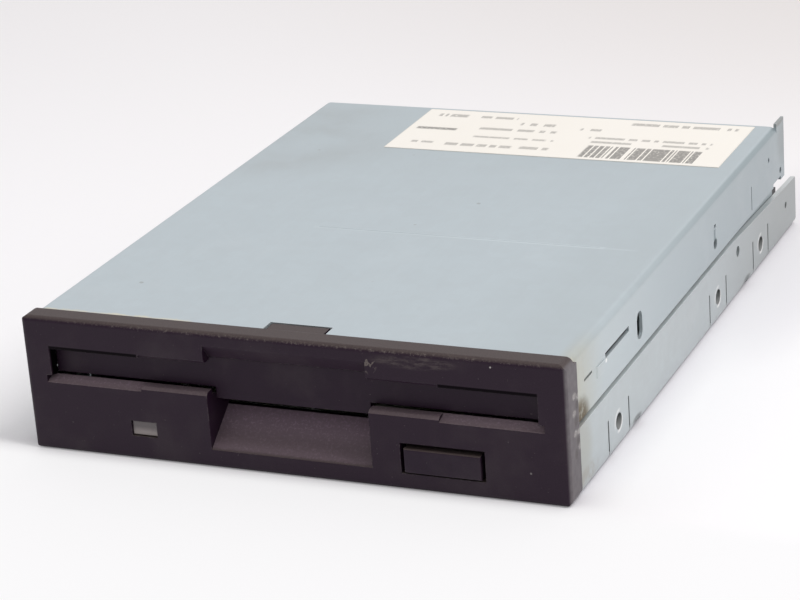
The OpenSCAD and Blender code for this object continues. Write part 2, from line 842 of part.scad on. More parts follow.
// Bare paper label at the rear right of the cover
module rating_label() {
    label_right = half - 4.6;
    label_rear = cover_rear - 1;
    color([0.93, 0.92, 0.87])
    block([label_right - label_w, label_right], [label_rear - label_d, label_rear],
        [cover_z, cover_z + label_t]);
}

// Folded section of the chassis: floor and two side walls, with round bends
module chassis_section() {
    inner_r = bend_r - chassis_t;
    difference() {
        union() {
            translate([-half, bend_r]) square([body_w, wall_h - bend_r]);
            translate([bend_r - half, 0]) square([body_w - 2 * bend_r, wall_h]);
            for (side = [-1, 1]) translate([side * (half - bend_r), bend_r]) circle(bend_r);
        }
        translate([-wall_in, bend_r]) square([2 * wall_in, wall_h]);
        translate([inner_r - wall_in, chassis_t]) square([2 * (wall_in - inner_r), wall_h]);
        for (side = [-1, 1]) translate([side * (wall_in - inner_r), bend_r]) circle(inner_r);
    }
}

// Ears bent up inside the side walls
module chassis_ears() {
    both_sides() for (ear = ears_y) block([ear_in, ear_out], ear, [floor_z - 0.5, ear_h]);
}

// Upright lugs that hold the ends of the guide rods
module rod_lugs() {
    for (y = [rod_front, rod_main_rear - rod_lug_t])
        block([rod_main_x - 3.2, rod_main_x + 3.2], [y, y + rod_lug_t], [floor_z - 0.5, rod_lug_top]);
    for (y = [rod_front, rod_side_rear - rod_lug_t])
        block([rod_side_x - 3, rod_side_x + 3], [y, y + rod_lug_t], [floor_z - 0.5, rod_lug_top]);
}

// Extruded collars round the threaded holes
module mount_collars() {
    both_sides() {
        for (y = side_hole_ys) round_x(collar_r, [wall_in - side_collar_l, wall_in + 0.5], y, side_hole_z);
        for (y = bottom_hole_ys)
            round_z(collar_r, bottom_pitch_x / 2, y, [floor_z - 0.5, floor_z + bottom_collar_h]);
    }
}

// Slits that free the tabs round the side holes, and the small notches of the lower edge
module wall_slits() {
    x = [wall_in - side_collar_l - over, half + over];
    both_sides() {
        for (y = side_hole_ys) for (side = [-tab_half, tab_half])
            block([wall_in - 0.2, half + over], [y + side - slit_w / 2, y + side + slit_w / 2], [1.6, tab_h]);
        for (notch = notches_y) block([wall_in - 0.3, half + over], notch, [-over, notch_h]);
        round_x(1.1, x, wall_hole[0], wall_hole[1]);
        round_x(0.7, x, wall_dimple[0], wall_dimple[1]);
    }
}

// Upper edge of the side walls, which falls to the rear
module wall_rear_cut() {
    fall_y = cover_rear - 34;
    along_x([-half - over, half + over])
        polygon([[fall_y, wall_h], [body_d + over, wall_rear_h],
            [body_d + over, wall_h + over], [fall_y, wall_h + over]]);
}

module chassis_holes() {
    both_sides() {
        for (y = side_hole_ys)
            round_x(mount_r, [wall_in - side_collar_l - over, half + over], y, side_hole_z);
        for (y = bottom_hole_ys)
            round_z(mount_r, bottom_pitch_x / 2, y, [-over, floor_z + bottom_collar_h + over]);
        for (y = holder_pin_y) {
            low_z = pin_z - disk_drop;
            slot_r = pin_r + slot_gap;
            round_x(slot_r, [ear_in - over, ear_out + over], y, low_z);
            block([ear_in - over, ear_out + over], [y - slot_r, y + slot_r], [low_z, ear_h + over]);
        }
    }
    round_y(rod_r + bore_gap, rod_main_x, [rod_front - over, rod_main_rear + over], rod_z);
    round_y(rod_r + bore_gap, rod_side_x, [rod_front - over, rod_side_rear + over], rod_z);
    for (at = concat(motor_screws, logic_screws))
        round_z(screw_shank_r + bore_gap, at[0], at[1], [-over, board_z + over]);
    for (x = vent_x) for (y = vent_y) block([x - 5, x + 5], [y - 1, y + 1], [-over, floor_z + over]);
}

module chassis() {
    color([0.66, 0.69, 0.7])
    difference() {
        union() {
            difference() {
                along_y([body_front, body_d]) chassis_section();
                wall_slits();
                wall_rear_cut();
            }
            chassis_ears();
            rod_lugs();
            mount_collars();
            for (at = concat(motor_screws, logic_screws))
                round_z(standoff_r, at[0], at[1], [floor_z - 0.5, board_z]);
        }
        chassis_holes();
    }
}

// Loading mechanism

// Pins on the chassis ears that run in the slider's level slots
module slider_guide_pins() {
    color("silver")
    both_sides() for (y = guide_pin_y) round_x(pin_r, [slider_in - 0.1, ear_in], y, guide_pin_z);
}

// Posts that set the height of a loaded disk
module disk_datum_posts() {
    color("silver")
    both_sides() for (y = datum_y) {
        round_z(datum_r, datum_x, y, [floor_z, disk_low - 0.4]);
        round_z(datum_r - 0.6, datum_x, y, [disk_low - 0.4, disk_low]);
    }
}

// Slots of one side wall of the slider: level ones for the guide pins, sloping ones that lift the holder
module slider_slots() {
    x = [slider_in - over, slider_out + over];
    for (y = guide_pin_y)
        wall_slot(pin_r + slot_gap, x, [y, guide_pin_z], [y + eject_travel, guide_pin_z]);
    for (y = holder_pin_y)
        wall_slot(pin_r + slot_gap, x, [y, pin_z], [y + eject_travel, pin_z - disk_drop]);
}

// Arm of the slider that reaches down and across to the eject button
module slider_arm() {
    block([slider_in, slider_out], arm_y, [arm_z[0], slider_top]);
    block([button_x - stem_half - 2, slider_out], arm_y, arm_z);
}

module eject_slider() {
    wall_low = pin_z - disk_drop - pin_r - 2.2;
    through = [slider_z - over, slider_top + over];
    walls_y = [[arm_y[0], ears_y[0][1] + 4], [ears_y[1][0] - 2, slider_rear]];
    window_x = [lever_pivot[0] - lever_hook - 1.6, lever_pivot[0] - lever_hook + 3];
    window_y = [lever_pivot[1] - 1.6, lever_pivot[1] + 1 + slot_gap];
    color([0.72, 0.74, 0.75])
    difference() {
        union() {
            block([-slider_out, slider_out], [slider_front, slider_rear], [slider_z, slider_top]);
            both_sides() for (wall = walls_y) block([slider_in, slider_out], wall, [wall_low, slider_top]);
            slider_arm();
            both_sides() block([spring_x - 1, spring_x + 1], [spring_rear, spring_rear + 0.8],
                [slider_top - 0.3, spring_z + 0.9]);
        }
        both_sides() slider_slots();
        block([-arm_window, arm_window], [slider_window, slider_rear + over], through);
        block(window_x, window_y, through);
        both_sides()
            block([spring_x - 1.4, spring_x + 1.4],
                [spring_front - 1.4, spring_front + eject_travel + 1.4], through);
        for (x = slider_hole_x) for (y = slider_hole_y) block([x - 6, x + 6], [y - 3, y + 3], through);
    }
}

// Tension springs that draw the slider forward
module eject_springs() {
    pitch = (spring_rear - spring_front - spring_post_w / 2 - 0.6) / spring_turns;
    points = helix(spring_r, spring_turns, pitch);
    echo(eject_spring_gap = helix_gap(points, spring_wire));
    color("silver")
    for (x = [-spring_x, spring_x])
        translate([x, spring_front + spring_post_w / 2 + 0.3, spring_z]) rotate([0, 0, 90])
            wound_wire(points, spring_wire);
}

// Tray that carries the disk: a top plate with folded sides and lips
module disk_holder() {
    lip_low = bay_low - holder_t;
    y = [holder_front, holder_rear];
    color([0.74, 0.76, 0.77])
    difference() {
        union() {
            block([-holder_out, holder_out], y, [bay_high, holder_top]);
            both_sides() {
                block([holder_in, holder_out], y, [lip_low, holder_top]);
                block([holder_in - 2.8, holder_out], y, [lip_low, bay_low]);
                block([spring_x - spring_post_w / 2, spring_x + spring_post_w / 2],
                    [spring_front - spring_post_w / 2, spring_front + spring_post_w / 2],
                    [holder_top - 0.3, spring_z + 0.9]);
            }
            block([arm_window + 2, wing_x + 1.5], [holder_rear - 1, arm_hinge[0] - wing_at[0] + 2.4],
                [bay_high, holder_top]);
        }
        block([-arm_window, arm_window], [head_y - head_travel - 6.7, holder_rear + over],
            [bay_high - over, holder_top + over]);
        translate([lever_pivot[0], lever_pivot[1], bay_high - over])
            rotate([0, 0, lever_start + lever_window[0]])
                rotate_extrude(angle = lever_turn + lever_window[1] - lever_window[0])
                    translate([lever_arm - 2.2, 0]) square([4.4, holder_t + 2 * over]);
        for (x = holder_hole_x)
            block([x - 5, x + 5], [holder_front + 12, holder_front + 18],
                [bay_high - over, holder_top + over]);
    }
}

// Pins on the holder's sides that run in the slider's sloping slots and the ears' upright ones
module holder_pins() {
    color("silver")
    both_sides() for (y = holder_pin_y) round_x(pin_r, [holder_out, ear_out - 0.2], y, pin_z);
}

// Lever that the disk's inner edge turns: its hook lets the slider go
module trigger_lever() {
    color([0.7, 0.71, 0.72])
    translate([lever_pivot[0], lever_pivot[1], 0])
    union() {
        translate([0, 0, lever_z]) linear_extrude(lever_t) lever_outline();
        rotate([0, 0, lever_start])
            block([lever_arm - 0.6, lever_arm + 0.6], [-1.5, 1.5], [bay_low + 1, lever_z + 0.3]);
        round_z(1, -lever_hook, 0, [lever_top - 0.3, slider_top - 0.1]);
    }
}

// Outline of the trigger lever: hub, long arm to the disk, short arm to the slider
module lever_outline() {
    difference() {
        union() {
            circle(3.4);
            rotate(lever_start) translate([0, -2]) square([lever_arm + 1, 4]);
            translate([-lever_hook, -1.6]) square([lever_hook, 3.2]);
            translate([-lever_hook, 0]) circle(1.61);
        }
        circle(lever_pin_r + bore_gap);
    }
}

module trigger_rivet() {
    color("silver")
    translate([lever_pivot[0], lever_pivot[1], 0]) {
        round_z(lever_pin_r, 0, 0, [holder_top, lever_top + seat_gap]);
        round_z(2.4, 0, 0, [lever_top + seat_gap, lever_top + 0.4]);
    }
}

// Spindle motor

module motor_board() {
    color([0.35, 0.3, 0.16])
    difference() {
        along_z([board_z, board_top]) rounded(motor_board_y, [-motor_board_half, motor_board_half], 2);
        round_z(bearing_r + slot_gap, 0, spindle_y, [board_z - over, board_top + over]);
        both_sides() round_z(datum_r + 0.3, datum_x, datum_y[0], [board_z - over, board_top + over]);
        for (at = motor_screws)
            round_z(screw_shank_r + 0.15, at[0], at[1], [board_z - over, board_top + over]);
    }
}

// Bronze bush with the flange that carries the stator
module spindle_bearing() {
    color([0.72, 0.58, 0.32])
    difference() {
        union() {
            round_z(bearing_r, 0, spindle_y, [floor_z, bearing_top]);
            round_z(bearing_r + 2, 0, spindle_y, [board_top, stator_z[0]]);
        }
        round_z(shaft_r + bore_gap, 0, spindle_y, [floor_z + 0.5, bearing_top + over]);
    }
}

// Stack of laminations: a ring with a tooth and a pole shoe towards each magnet pole
module stator_core() {
    tooth_root = bearing_r + 2;
    color([0.5, 0.5, 0.5])
    translate([0, spindle_y, stator_z[0]])
    linear_extrude(stator_z[1] - stator_z[0])
    difference() {
        union() {
            circle(bearing_r + 3);
            for (i = [0 : pole_count - 1]) rotate(i * 360 / pole_count) {
                translate([tooth_root, -tooth_half]) square([stator_r - 1 - tooth_root, 2 * tooth_half]);
                translate([stator_r - shoe_t, -shoe_half]) square([shoe_t, 2 * shoe_half]);
            }
        }
        circle(bearing_r + seat_gap);
    }
}

module stator_coils() {
    color([0.72, 0.42, 0.2])
    translate([0, spindle_y, 0])
    for (i = [0 : pole_count - 1]) rotate([0, 0, i * 360 / pole_count])
        difference() {
            block([bearing_r + 4.4, stator_r - shoe_t - 0.3], [-tooth_half - coil_pad, tooth_half + coil_pad],
                [stator_z[0] - coil_pad, stator_z[1] + coil_pad]);
            block([bearing_r, stator_r], [-tooth_half - seat_gap, tooth_half + seat_gap],
                [stator_z[0] - seat_gap, stator_z[1] + seat_gap]);
        }
}

module rotor_cup() {
    color([0.76, 0.77, 0.78])
    translate([0, spindle_y, 0])
    rotate_extrude()
        polygon([
            [shaft_r + bore_gap, rotor_under], [rotor_r - rotor_t, rotor_under],
            [rotor_r - rotor_t, rotor_low], [rotor_r, rotor_low], [rotor_r, rotor_high - 0.4],
            [rotor_r - 0.4, rotor_high], [shaft_r + bore_gap, rotor_high]
        ]);
}

module ring_magnet() {
    outer = rotor_r - rotor_t - seat_gap;
    color([0.22, 0.22, 0.24])
    translate([0, spindle_y, 0])
    rotate_extrude()
        translate([outer - magnet_t, rotor_low + 0.2])
            square([magnet_t, rotor_under - seat_gap - rotor_low - 0.2]);
}

module disk_chuck() {
    color([0.8, 0.8, 0.78])
    translate([0, spindle_y, 0])
    difference() {
        rotate_extrude()
            polygon([
                [shaft_r + bore_gap, rotor_high], [chuck_r, rotor_high], [chuck_r, chuck_top - 1.2],
                [chuck_r - 1.6, chuck_top], [shaft_r + bore_gap, chuck_top]
            ]);
        block([drive_pin_at - 1.6, drive_pin_at + 1.5], [-2.2, 2.2], [rotor_high - over, chuck_top + over]);
    }
}

// Sprung pin that drops into the slot of the disk's hub
module drive_pin() {
    color("silver")
    translate([0, spindle_y, 0]) {
        block([drive_pin_at - 1.5, drive_pin_at + 1.4], [-2.1, 2.1], [rotor_high, rotor_high + 0.4]);
        round_z(drive_pin_r, drive_pin_at, 0, [rotor_high + 0.2, shaft_top - 0.4]);
    }
}

module spindle_shaft() {
    color("silver")
    translate([0, spindle_y, 0]) {
        round_z(shaft_r, 0, 0, [floor_z + 0.6, shaft_top - 0.5]);
        translate([0, 0, shaft_top - 0.5]) cylinder(r1 = shaft_r, r2 = shaft_r - 0.5, h = 0.5);
    }
}

// Head positioner

module stepper_motor() {
    color([0.6, 0.61, 0.62])
    difference() {
        union() {
            round_y(stepper_r, screw_x, [stepper_front, stepper_front + stepper_l], screw_z);
            round_y(stepper_r + 0.5, screw_x, [stepper_front + 5.5, stepper_front + 8.5], screw_z);
            round_y(spigot_r, screw_x, [stepper_front - bracket_t - 0.3, stepper_front + over], screw_z);
        }
        round_y(journal_r + bore_gap, screw_x, [stepper_front - bracket_t - over, stepper_front + 6],
            screw_z);
    }
}

// Bracket between the stepper and the front bearing of its screw
module stepper_bracket() {
    x = [screw_x - bracket_half, screw_x + bracket_half];
    color([0.7, 0.72, 0.73])
    difference() {
        union() {
            block(x, [screw_front - bracket_t, stepper_front], [floor_z, floor_z + bracket_t]);
            block(x, [screw_front - bracket_t, screw_front], [floor_z, screw_z + 3.4]);
            block(x, [stepper_front - bracket_t, stepper_front], [floor_z, screw_z + 4.5]);
        }
        round_y(bush_r + seat_gap, screw_x, [screw_front - bracket_t - over, screw_front + over], screw_z);
        round_y(spigot_r + seat_gap, screw_x,
            [stepper_front - bracket_t - over, stepper_front + over], screw_z);
    }
}

module screw_bearing() {
    color([0.85, 0.84, 0.8])
    difference() {
        union() {
            round_y(bush_r, screw_x, [screw_front - bracket_t, screw_front + bush_l], screw_z);
            round_y(3, screw_x, [screw_front + seat_gap, screw_front + 0.8], screw_z);
        }
        round_y(journal_r + bore_gap, screw_x,
            [screw_front - bracket_t - over, screw_front + bush_l + over], screw_z);
    }
}

// Section of the lead screw: a circle with one groove, facing along x
function screw_outline(points, groove_half) = [
    for (i = [0 : points - 1])
        let (
            angle = i * 360 / points,
            in_groove = min(angle, 360 - angle) < groove_half,
            r = in_groove ? screw_r - groove_depth : screw_r
        )
        r * [cos(angle), sin(angle)]
];

// Lead screw: the groove faces the follower where the carriage stands at rest
module lead_screw() {
    thread_l = thread_y[1] - thread_y[0];
    turns = thread_l / screw_lead;
    start_angle = -360 * (follower_y - thread_y[0]) / screw_lead;
    color([0.78, 0.79, 0.8])
    union() {
        translate([screw_x, thread_y[0], screw_z]) rotate([-90, 0, 0])
            linear_extrude(height = thread_l, twist = -360 * turns, slices = ceil(12 * turns), $fn = 14)
                rotate(start_angle) polygon(screw_outline(14, 65));
        round_y(journal_r, screw_x, [screw_front - bracket_t + 0.2, thread_y[0] + over], screw_z);
        round_y(journal_r, screw_x, [thread_y[1] - over, stepper_front + 5], screw_z);
    }
}

module guide_rods() {
    color("silver") {
        round_y(rod_r, rod_main_x, [rod_front, rod_main_rear], rod_z);
        round_y(rod_r, rod_side_x, [rod_front, rod_side_rear], rod_z);
    }
}

// Moulded carriage: a bearing on the main rod, a fork on the side rod, a nose for the lower head
module head_carriage() {
    bearing_x = [rod_main_x - 4, rod_main_x + 4];
    fork_left = rod_side_x - 4;
    nose_top = media_z - 2.35;
    ear_x = [6, 8];
    post_foot_half = 6.4;
    color([0.82, 0.8, 0.72])
    difference() {
        union() {
            block([-6, 6], [head_y - 5, carriage_y[0] + 1], [nose_top - 3.6, nose_top]);
            block([-4, 4], [head_y - 3.5, head_y + 3.5], [nose_top - 0.5, media_z - 0.95]);
            block([fork_left, bearing_x[1]], carriage_y, carriage_z);
            block(bearing_x, [carriage_y[0], post_y[0]], carriage_z);
            block([-5.5, 5.5], [carriage_y[1] - 0.5, post_y[1]], carriage_z);
            block([-post_foot_half, post_foot_half], post_y, [carriage_z[0], arm_hinge[1] - 2.2]);
            block([-ear_x[1], ear_x[1]], post_y, [rod_lug_top + run_gap, arm_hinge[1] - 2.2]);
            both_sides()
                block(ear_x, [arm_hinge[0] - 3, arm_hinge[0] + 3], [arm_hinge[1] - 2.6, arm_hinge[1] + 2]);
            block([bearing_x[1] - 0.2, bearing_x[1] + 5.4], [post_y[0] - 4, post_y[0] - 1], [6.4, 7.2]);
        }
        round_y(rod_r + bore_gap, rod_main_x, [carriage_y[0] - over, post_y[0] + over], rod_z);
        round_y(rod_r + bore_gap, rod_side_x, [carriage_y[0] - over, carriage_y[1] + over], rod_z);
        block([fork_left - over, rod_side_x], [carriage_y[0] - over, carriage_y[1] + over],
            [rod_z - rod_r - bore_gap, rod_z + rod_r + bore_gap]);
        round_x(arm_pin_r + bore_gap, [-ear_x[1] - over, ear_x[1] + over], arm_hinge[0], arm_hinge[1]);
    }
}

// Needle that rides in the screw's groove, on a plate at the carriage's side
module screw_follower() {
    plate_x = [rod_side_x - 5, rod_side_x - 4];
    tip_x = screw_x + screw_r - groove_depth + 0.1;
    color("silver")
    union() {
        block(plate_x, [follower_y - 2, follower_y + 2], [rod_z + rod_r + 0.2, carriage_z[1] - 0.1]);
        round_x(0.4, [tip_x, plate_x[0] + 0.3], follower_y, screw_z);
    }
}

module lower_head() {
    color([0.2, 0.2, 0.22])
    block([-head_half[0], head_half[0]], [head_y - head_half[1], head_y + head_half[1]],
        [media_z - 0.95, media_z - head_gap]);
}

// Lifts what is drawn with the arm lowered to the arm's place at rest
module arm_lifted() {
    translate([0, arm_hinge[0], arm_hinge[1]]) rotate([-arm_lift, 0, 0])
        translate([0, -arm_hinge[0], -arm_hinge[1]]) children();
}

// Arm that carries the upper head, with the wing that the holder lifts
module head_arm() {
    arm_low = arm_hinge[1] - arm_t / 2;
    arm_high = arm_hinge[1] + arm_t / 2;
    color([0.78, 0.77, 0.72])
    arm_lifted()
    difference() {
        union() {
            along_z([arm_low, arm_high])
                polygon([
                    [head_y - 4, -4], [head_y - 4, 4], [head_y + 5, arm_half],
                    [arm_hinge[0], arm_half - 0.4], [arm_hinge[0], 0.4 - arm_half], [head_y + 5, -arm_half]
                ]);
            round_x(arm_barrel_r, [0.4 - arm_half, 1.5], arm_hinge[0], arm_hinge[1]);
            block([arm_half - 1, wing_x], [arm_hinge[0] - wing_at[1], arm_hinge[0] - wing_at[0]],
                [arm_hinge[1] + 0.2, arm_hinge[1] + 0.8]);
        }
        round_x(arm_pin_r + bore_gap, [-arm_half - over, arm_half + over], arm_hinge[0], arm_hinge[1]);
        block([1.5, arm_half + over], [arm_hinge[0] - 3.4, arm_hinge[0] + over],
            [arm_low - over, arm_high + over]);
        block([-3, 3], [head_y + 9, head_y + 22], [arm_low - over, arm_high + over]);
    }
}

module arm_hinge_pin() {
    color("silver") round_x(arm_pin_r, [-8, 8], arm_hinge[0], arm_hinge[1]);
}

// Torsion spring that presses the arm down
module arm_spring() {
    turns = 4;
    wire = 0.18;
    points = helix(arm_pin_r + wire + 0.35, turns, 0.9);
    echo(arm_spring_gap = helix_gap(points, wire));
    color("silver")
    translate([1.9, arm_hinge[0], arm_hinge[1]]) wound_wire(points, wire);
}

module upper_head() {
    color([0.2, 0.2, 0.22])
    arm_lifted()
    block([-head_half[0], head_half[0]], [head_y - head_half[1], head_y + head_half[1]],
        [media_z + head_gap, arm_hinge[1] - arm_t / 2]);
}

// Ribbon from the carriage to its socket on the logic board, with a slack bend
module head_flex() {
    ribbon_t = 0.15;
    bend = 4;
    top_z = 12;
    y0 = post_y[1] + seat_gap;
    bend_y = logic_gap_rear + 2 - bend;
    color([0.8, 0.55, 0.25])
    along_x(ribbon_x)
    difference() {
        union() {
            translate([y0, top_z]) square([bend_y - y0, ribbon_t]);
            intersection() {
                translate([bend_y, top_z - bend]) circle(bend + ribbon_t);
                translate([bend_y, top_z - bend]) square(bend + over);
            }
            translate([bend_y + bend, board_top + 2.1]) square([ribbon_t, top_z - bend - board_top - 2.1]);
        }
        translate([bend_y, top_z - bend]) circle(bend);
    }
}

module flex_socket() {
    color([0.9, 0.88, 0.8])
    block([ribbon_x[0] - ribbon_socket, ribbon_x[1] + ribbon_socket],
        [logic_gap_rear + 0.4, logic_gap_rear + 3.2], [board_top, board_top + 2]);
}

// Boards and connectors

module logic_board() {
    color([0.1, 0.32, 0.2])
    difference() {
        along_z([board_z, board_top]) rounded(logic_board_y, [-logic_board_half, logic_board_half], 1);
        block(logic_gap_x, [logic_board_y[0] - over, logic_gap_rear], [board_z - over, board_top + over]);
        for (at = logic_screws)
            round_z(screw_shank_r + 0.15, at[0], at[1], [board_z - over, board_top + over]);
    }
}

// Square chip with two rows of leads
module chip(x, y, w, d, h) {
    block([x - w / 2, x + w / 2], [y - d / 2, y + d / 2], [board_top + 0.15, board_top + h]);
    for (side = [-1, 1]) {
        row_y = y + side * (d / 2 + 0.3);
        block([x - w / 2 + 0.4, x + w / 2 - 0.4], [row_y - 0.5, row_y + 0.5], [board_top, board_top + 0.5]);
    }
}

module board_chips() {
    color([0.12, 0.12, 0.13])
        for (at = chips_at)
            chip(at[0], at[1], chip_size[0], chip_size[1], chip_size[2]);
}

// Square pin header: block at the board's rear edge with a shelf under the pins
module signal_connector() {
    x = [signal_x - signal_half, signal_x + signal_half];
    color([0.13, 0.13, 0.14])
    difference() {
        union() {
            block(x, signal_y, [board_top, signal_z + signal_pitch + 2.3]);
            block(x, [signal_y[0], body_d - 0.2], [board_top, board_top + 1.2]);
            for (side = x)
                block([side - signal_end_t / 2, side + signal_end_t / 2], [signal_y[0], body_d - 0.2],
                    [board_top, signal_z + 0.6]);
        }
        for (i = [0 : signal_columns - 1]) for (row = [0, 1])
            signal_pin_box(i, row, [signal_y[0] - over, signal_y[1] + over], seat_gap);
    }
}

// Body of one signal pin, grown for its hole
module signal_pin_box(i, row, y, grow) {
    x = signal_x + (i - (signal_columns - 1) / 2) * signal_pitch;
    z = signal_z + row * signal_pitch;
    w = contact_w / 2 + grow;
    block([x - w, x + w], y, [z - w, z + w]);
}

module signal_pins() {
    color([0.8, 0.68, 0.35])
    for (i = [0 : signal_columns - 1]) for (row = [0, 1])
        signal_pin_box(i, row, [signal_y[0] - 0.3, body_d - 0.8], 0);
}

// Power connector: open-topped shroud round four pins
module power_connector() {
    x = [power_x - power_half, power_x + power_half];
    top = board_top + 6.4;
    color([0.9, 0.89, 0.84])
    difference() {
        block(x, power_y, [board_top, top]);
        block([x[0] + 1, x[1] - 1], [power_y[0] + 3, power_y[1] + over], [board_top + 1.2, top + over]);
        for (i = [0 : power_pins_n - 1]) power_pin_box(i, [power_y[0] - over, power_y[0] + 4], seat_gap);
    }
}

module power_pin_box(i, y, grow) {
    x = power_x + (i - (power_pins_n - 1) / 2) * power_pitch;
    z = board_top + 3.6;
    w = contact_w / 2 + grow;
    block([x - w, x + w], y, [z - w, z + w]);
}

module power_pins() {
    color([0.8, 0.8, 0.78])
    for (i = [0 : power_pins_n - 1]) power_pin_box(i, [power_y[0] - 0.3, power_y[1] - 1.5], 0);
}

// Light barrier that the carriage's flag enters at track zero
module track_sensor() {
    x = [rod_main_x + sensor_x[0], rod_main_x + sensor_x[1]];
    color([0.14, 0.14, 0.15])
    difference() {
        block(x, [post_y[0] - 6, post_y[0] + 1], [board_top, board_top + 6]);
        block([x[0] - over, x[0] + 4.2], [post_y[0] - 6 - over, post_y[0] + 1 + over], [5.8, 7.8]);
    }
}

// Housings of the three switches that feel the disk
module sensor_switches() {
    color([0.15, 0.15, 0.16])
    for (i = [0 : 2])
        difference() {
            block([switch_x[i] - switch_half[i], switch_x[i] + switch_half[i]],
                [switch_y - switch_half[i], switch_y + switch_half[i]], [board_top, switch_top]);
            round_z(plunger_r + slot_gap, switch_x[i], switch_y,
                [plunger_top - 5.5 - switch_travel - 0.2, switch_top + over]);
        }
}

// One switch plunger, with a domed tip
module plunger(i) {
    color([0.88, 0.87, 0.84]) {
        round_z(plunger_r, switch_x[i], switch_y, [plunger_top - 5.5, plunger_top - 0.5]);
        translate([switch_x[i], switch_y, plunger_top - 0.5])
            cylinder(r1 = plunger_r, r2 = plunger_r - 0.5, h = 0.5);
    }
}

module write_protect_plunger() {
    plunger(0);
}

module density_plunger() {
    plunger(1);
}

module disk_in_plunger() {
    plunger(2);
}

// Screws that hold both boards to the chassis
module board_screws() {
    color("silver")
    for (at = concat(motor_screws, logic_screws))
        difference() {
            union() {
                round_z(screw_shank_r, at[0], at[1], [0.4, board_top]);
                round_z(screw_head_r, at[0], at[1], [board_top, board_top + screw_head_h]);
            }
            for (turn = [0, 90]) translate([at[0], at[1], board_top + screw_head_h]) rotate([0, 0, turn])
                block([-1.3, 1.3], [-0.25, 0.25], [-0.6, over]);
        }
}

placed() bezel();
placed() dust_flap();
placed() flap_spring();
placed() eject_button();
placed() light_pipe();
placed() activity_led();
placed() top_cover();
placed() rating_label();
placed() chassis();
placed() slider_guide_pins();
placed() disk_datum_posts();
placed() eject_slider();
placed() eject_springs();
placed() disk_holder();
placed() holder_pins();
placed() trigger_lever();
placed() trigger_rivet();
placed() motor_board();
placed() spindle_bearing();
placed() stator_core();
placed() stator_coils();
placed() rotor_cup();
placed() ring_magnet();
placed() disk_chuck();
placed() drive_pin();
placed() spindle_shaft();
placed() stepper_motor();
placed() stepper_bracket();
placed() screw_bearing();
placed() lead_screw();
placed() guide_rods();
placed() head_carriage();
placed() screw_follower();
placed() lower_head();
placed() head_arm();
placed() arm_hinge_pin();
placed() arm_spring();
placed() upper_head();
placed() head_flex();
placed() flex_socket();
placed() logic_board();
placed() board_chips();
placed() signal_connector();
placed() signal_pins();
placed() power_connector();
placed() power_pins();
placed() track_sensor();
placed() sensor_switches();
placed() write_protect_plunger();
placed() density_plunger();
placed() disk_in_plunger();
placed() board_screws();
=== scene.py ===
# %% [markdown]
# # A slim floppy disk drive
# The packed CAD model is the frame of this lesson. Its solids already have the right shapes and places, so
# Blender's work is the finish of every surface, the small things that a drawing leaves out, the light and
# the camera. Everything is in metres and in the frame of the CAD model.

# %% Load the frame
import json
import math
import operator
import random
from functools import cached_property, reduce

import bmesh
import bpy
from mathutils import Matrix, Vector


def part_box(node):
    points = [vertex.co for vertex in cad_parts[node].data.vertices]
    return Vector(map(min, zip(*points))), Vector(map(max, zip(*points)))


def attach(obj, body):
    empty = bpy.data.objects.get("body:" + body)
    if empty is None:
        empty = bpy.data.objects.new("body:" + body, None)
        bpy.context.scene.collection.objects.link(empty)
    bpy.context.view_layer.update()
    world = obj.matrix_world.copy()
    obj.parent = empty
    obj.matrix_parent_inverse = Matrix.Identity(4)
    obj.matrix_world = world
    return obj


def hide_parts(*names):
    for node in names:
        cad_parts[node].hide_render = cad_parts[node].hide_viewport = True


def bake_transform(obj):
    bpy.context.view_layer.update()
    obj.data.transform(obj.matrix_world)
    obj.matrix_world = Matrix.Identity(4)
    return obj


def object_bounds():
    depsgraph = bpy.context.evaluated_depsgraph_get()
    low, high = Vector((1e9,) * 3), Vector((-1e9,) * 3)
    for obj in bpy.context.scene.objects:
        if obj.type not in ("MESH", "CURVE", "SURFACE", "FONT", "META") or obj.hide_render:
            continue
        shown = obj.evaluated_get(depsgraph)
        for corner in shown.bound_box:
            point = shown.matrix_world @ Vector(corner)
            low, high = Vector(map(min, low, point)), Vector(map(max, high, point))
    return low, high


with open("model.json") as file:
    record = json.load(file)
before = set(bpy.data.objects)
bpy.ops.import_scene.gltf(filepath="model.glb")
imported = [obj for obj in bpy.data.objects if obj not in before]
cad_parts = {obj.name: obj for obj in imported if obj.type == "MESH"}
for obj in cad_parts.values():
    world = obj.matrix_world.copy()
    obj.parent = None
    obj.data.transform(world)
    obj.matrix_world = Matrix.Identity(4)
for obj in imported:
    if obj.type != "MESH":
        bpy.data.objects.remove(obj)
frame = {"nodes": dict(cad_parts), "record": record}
cad_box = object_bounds()
nodes = frame["nodes"]
bezel_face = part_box("bezel")[0].y
slot_of = {row["node"]: row["material_slot"] for row in frame["record"]["subparts"]}
print("frame:", len(nodes), "nodes, box", [tuple(round(v, 4) for v in corner) for corner in cad_box])

# %% [markdown]
# ## Measures
# A maker of such a drive measures back from the bezel's face, in millimetres. One helper turns such a point
# into the frame's metres and another turns a box of the frame into millimetres, so that the numbers below
# can be read with a ruler in hand.

# %% Points of the drive
PER_METRE = 1000
MM = 1 / PER_METRE


def at(x, back, z):
    """A point given in millimetres, with the second number measured back from the bezel's face."""
    return Vector((x * MM, bezel_face + back * MM, z * MM))


def in_mm(box):
    """The corners of a box in millimetres, measured in the same way."""
    return [(corner.x / MM, (corner.y - bezel_face) / MM, corner.z / MM) for corner in box]


print("the bezel's face stands at y =", round(bezel_face, 4))

# %% [markdown]
# ## Shader arithmetic
# Finishes are mixtures of masks, such as a worn edge, a stain or a row of print. Wiring such masks by hand
# hides the sum they stand for. Here a small class wraps a socket and overloads the operators, so a mask is
# written as an expression and each operator adds its Math node.

# %% A socket with operators


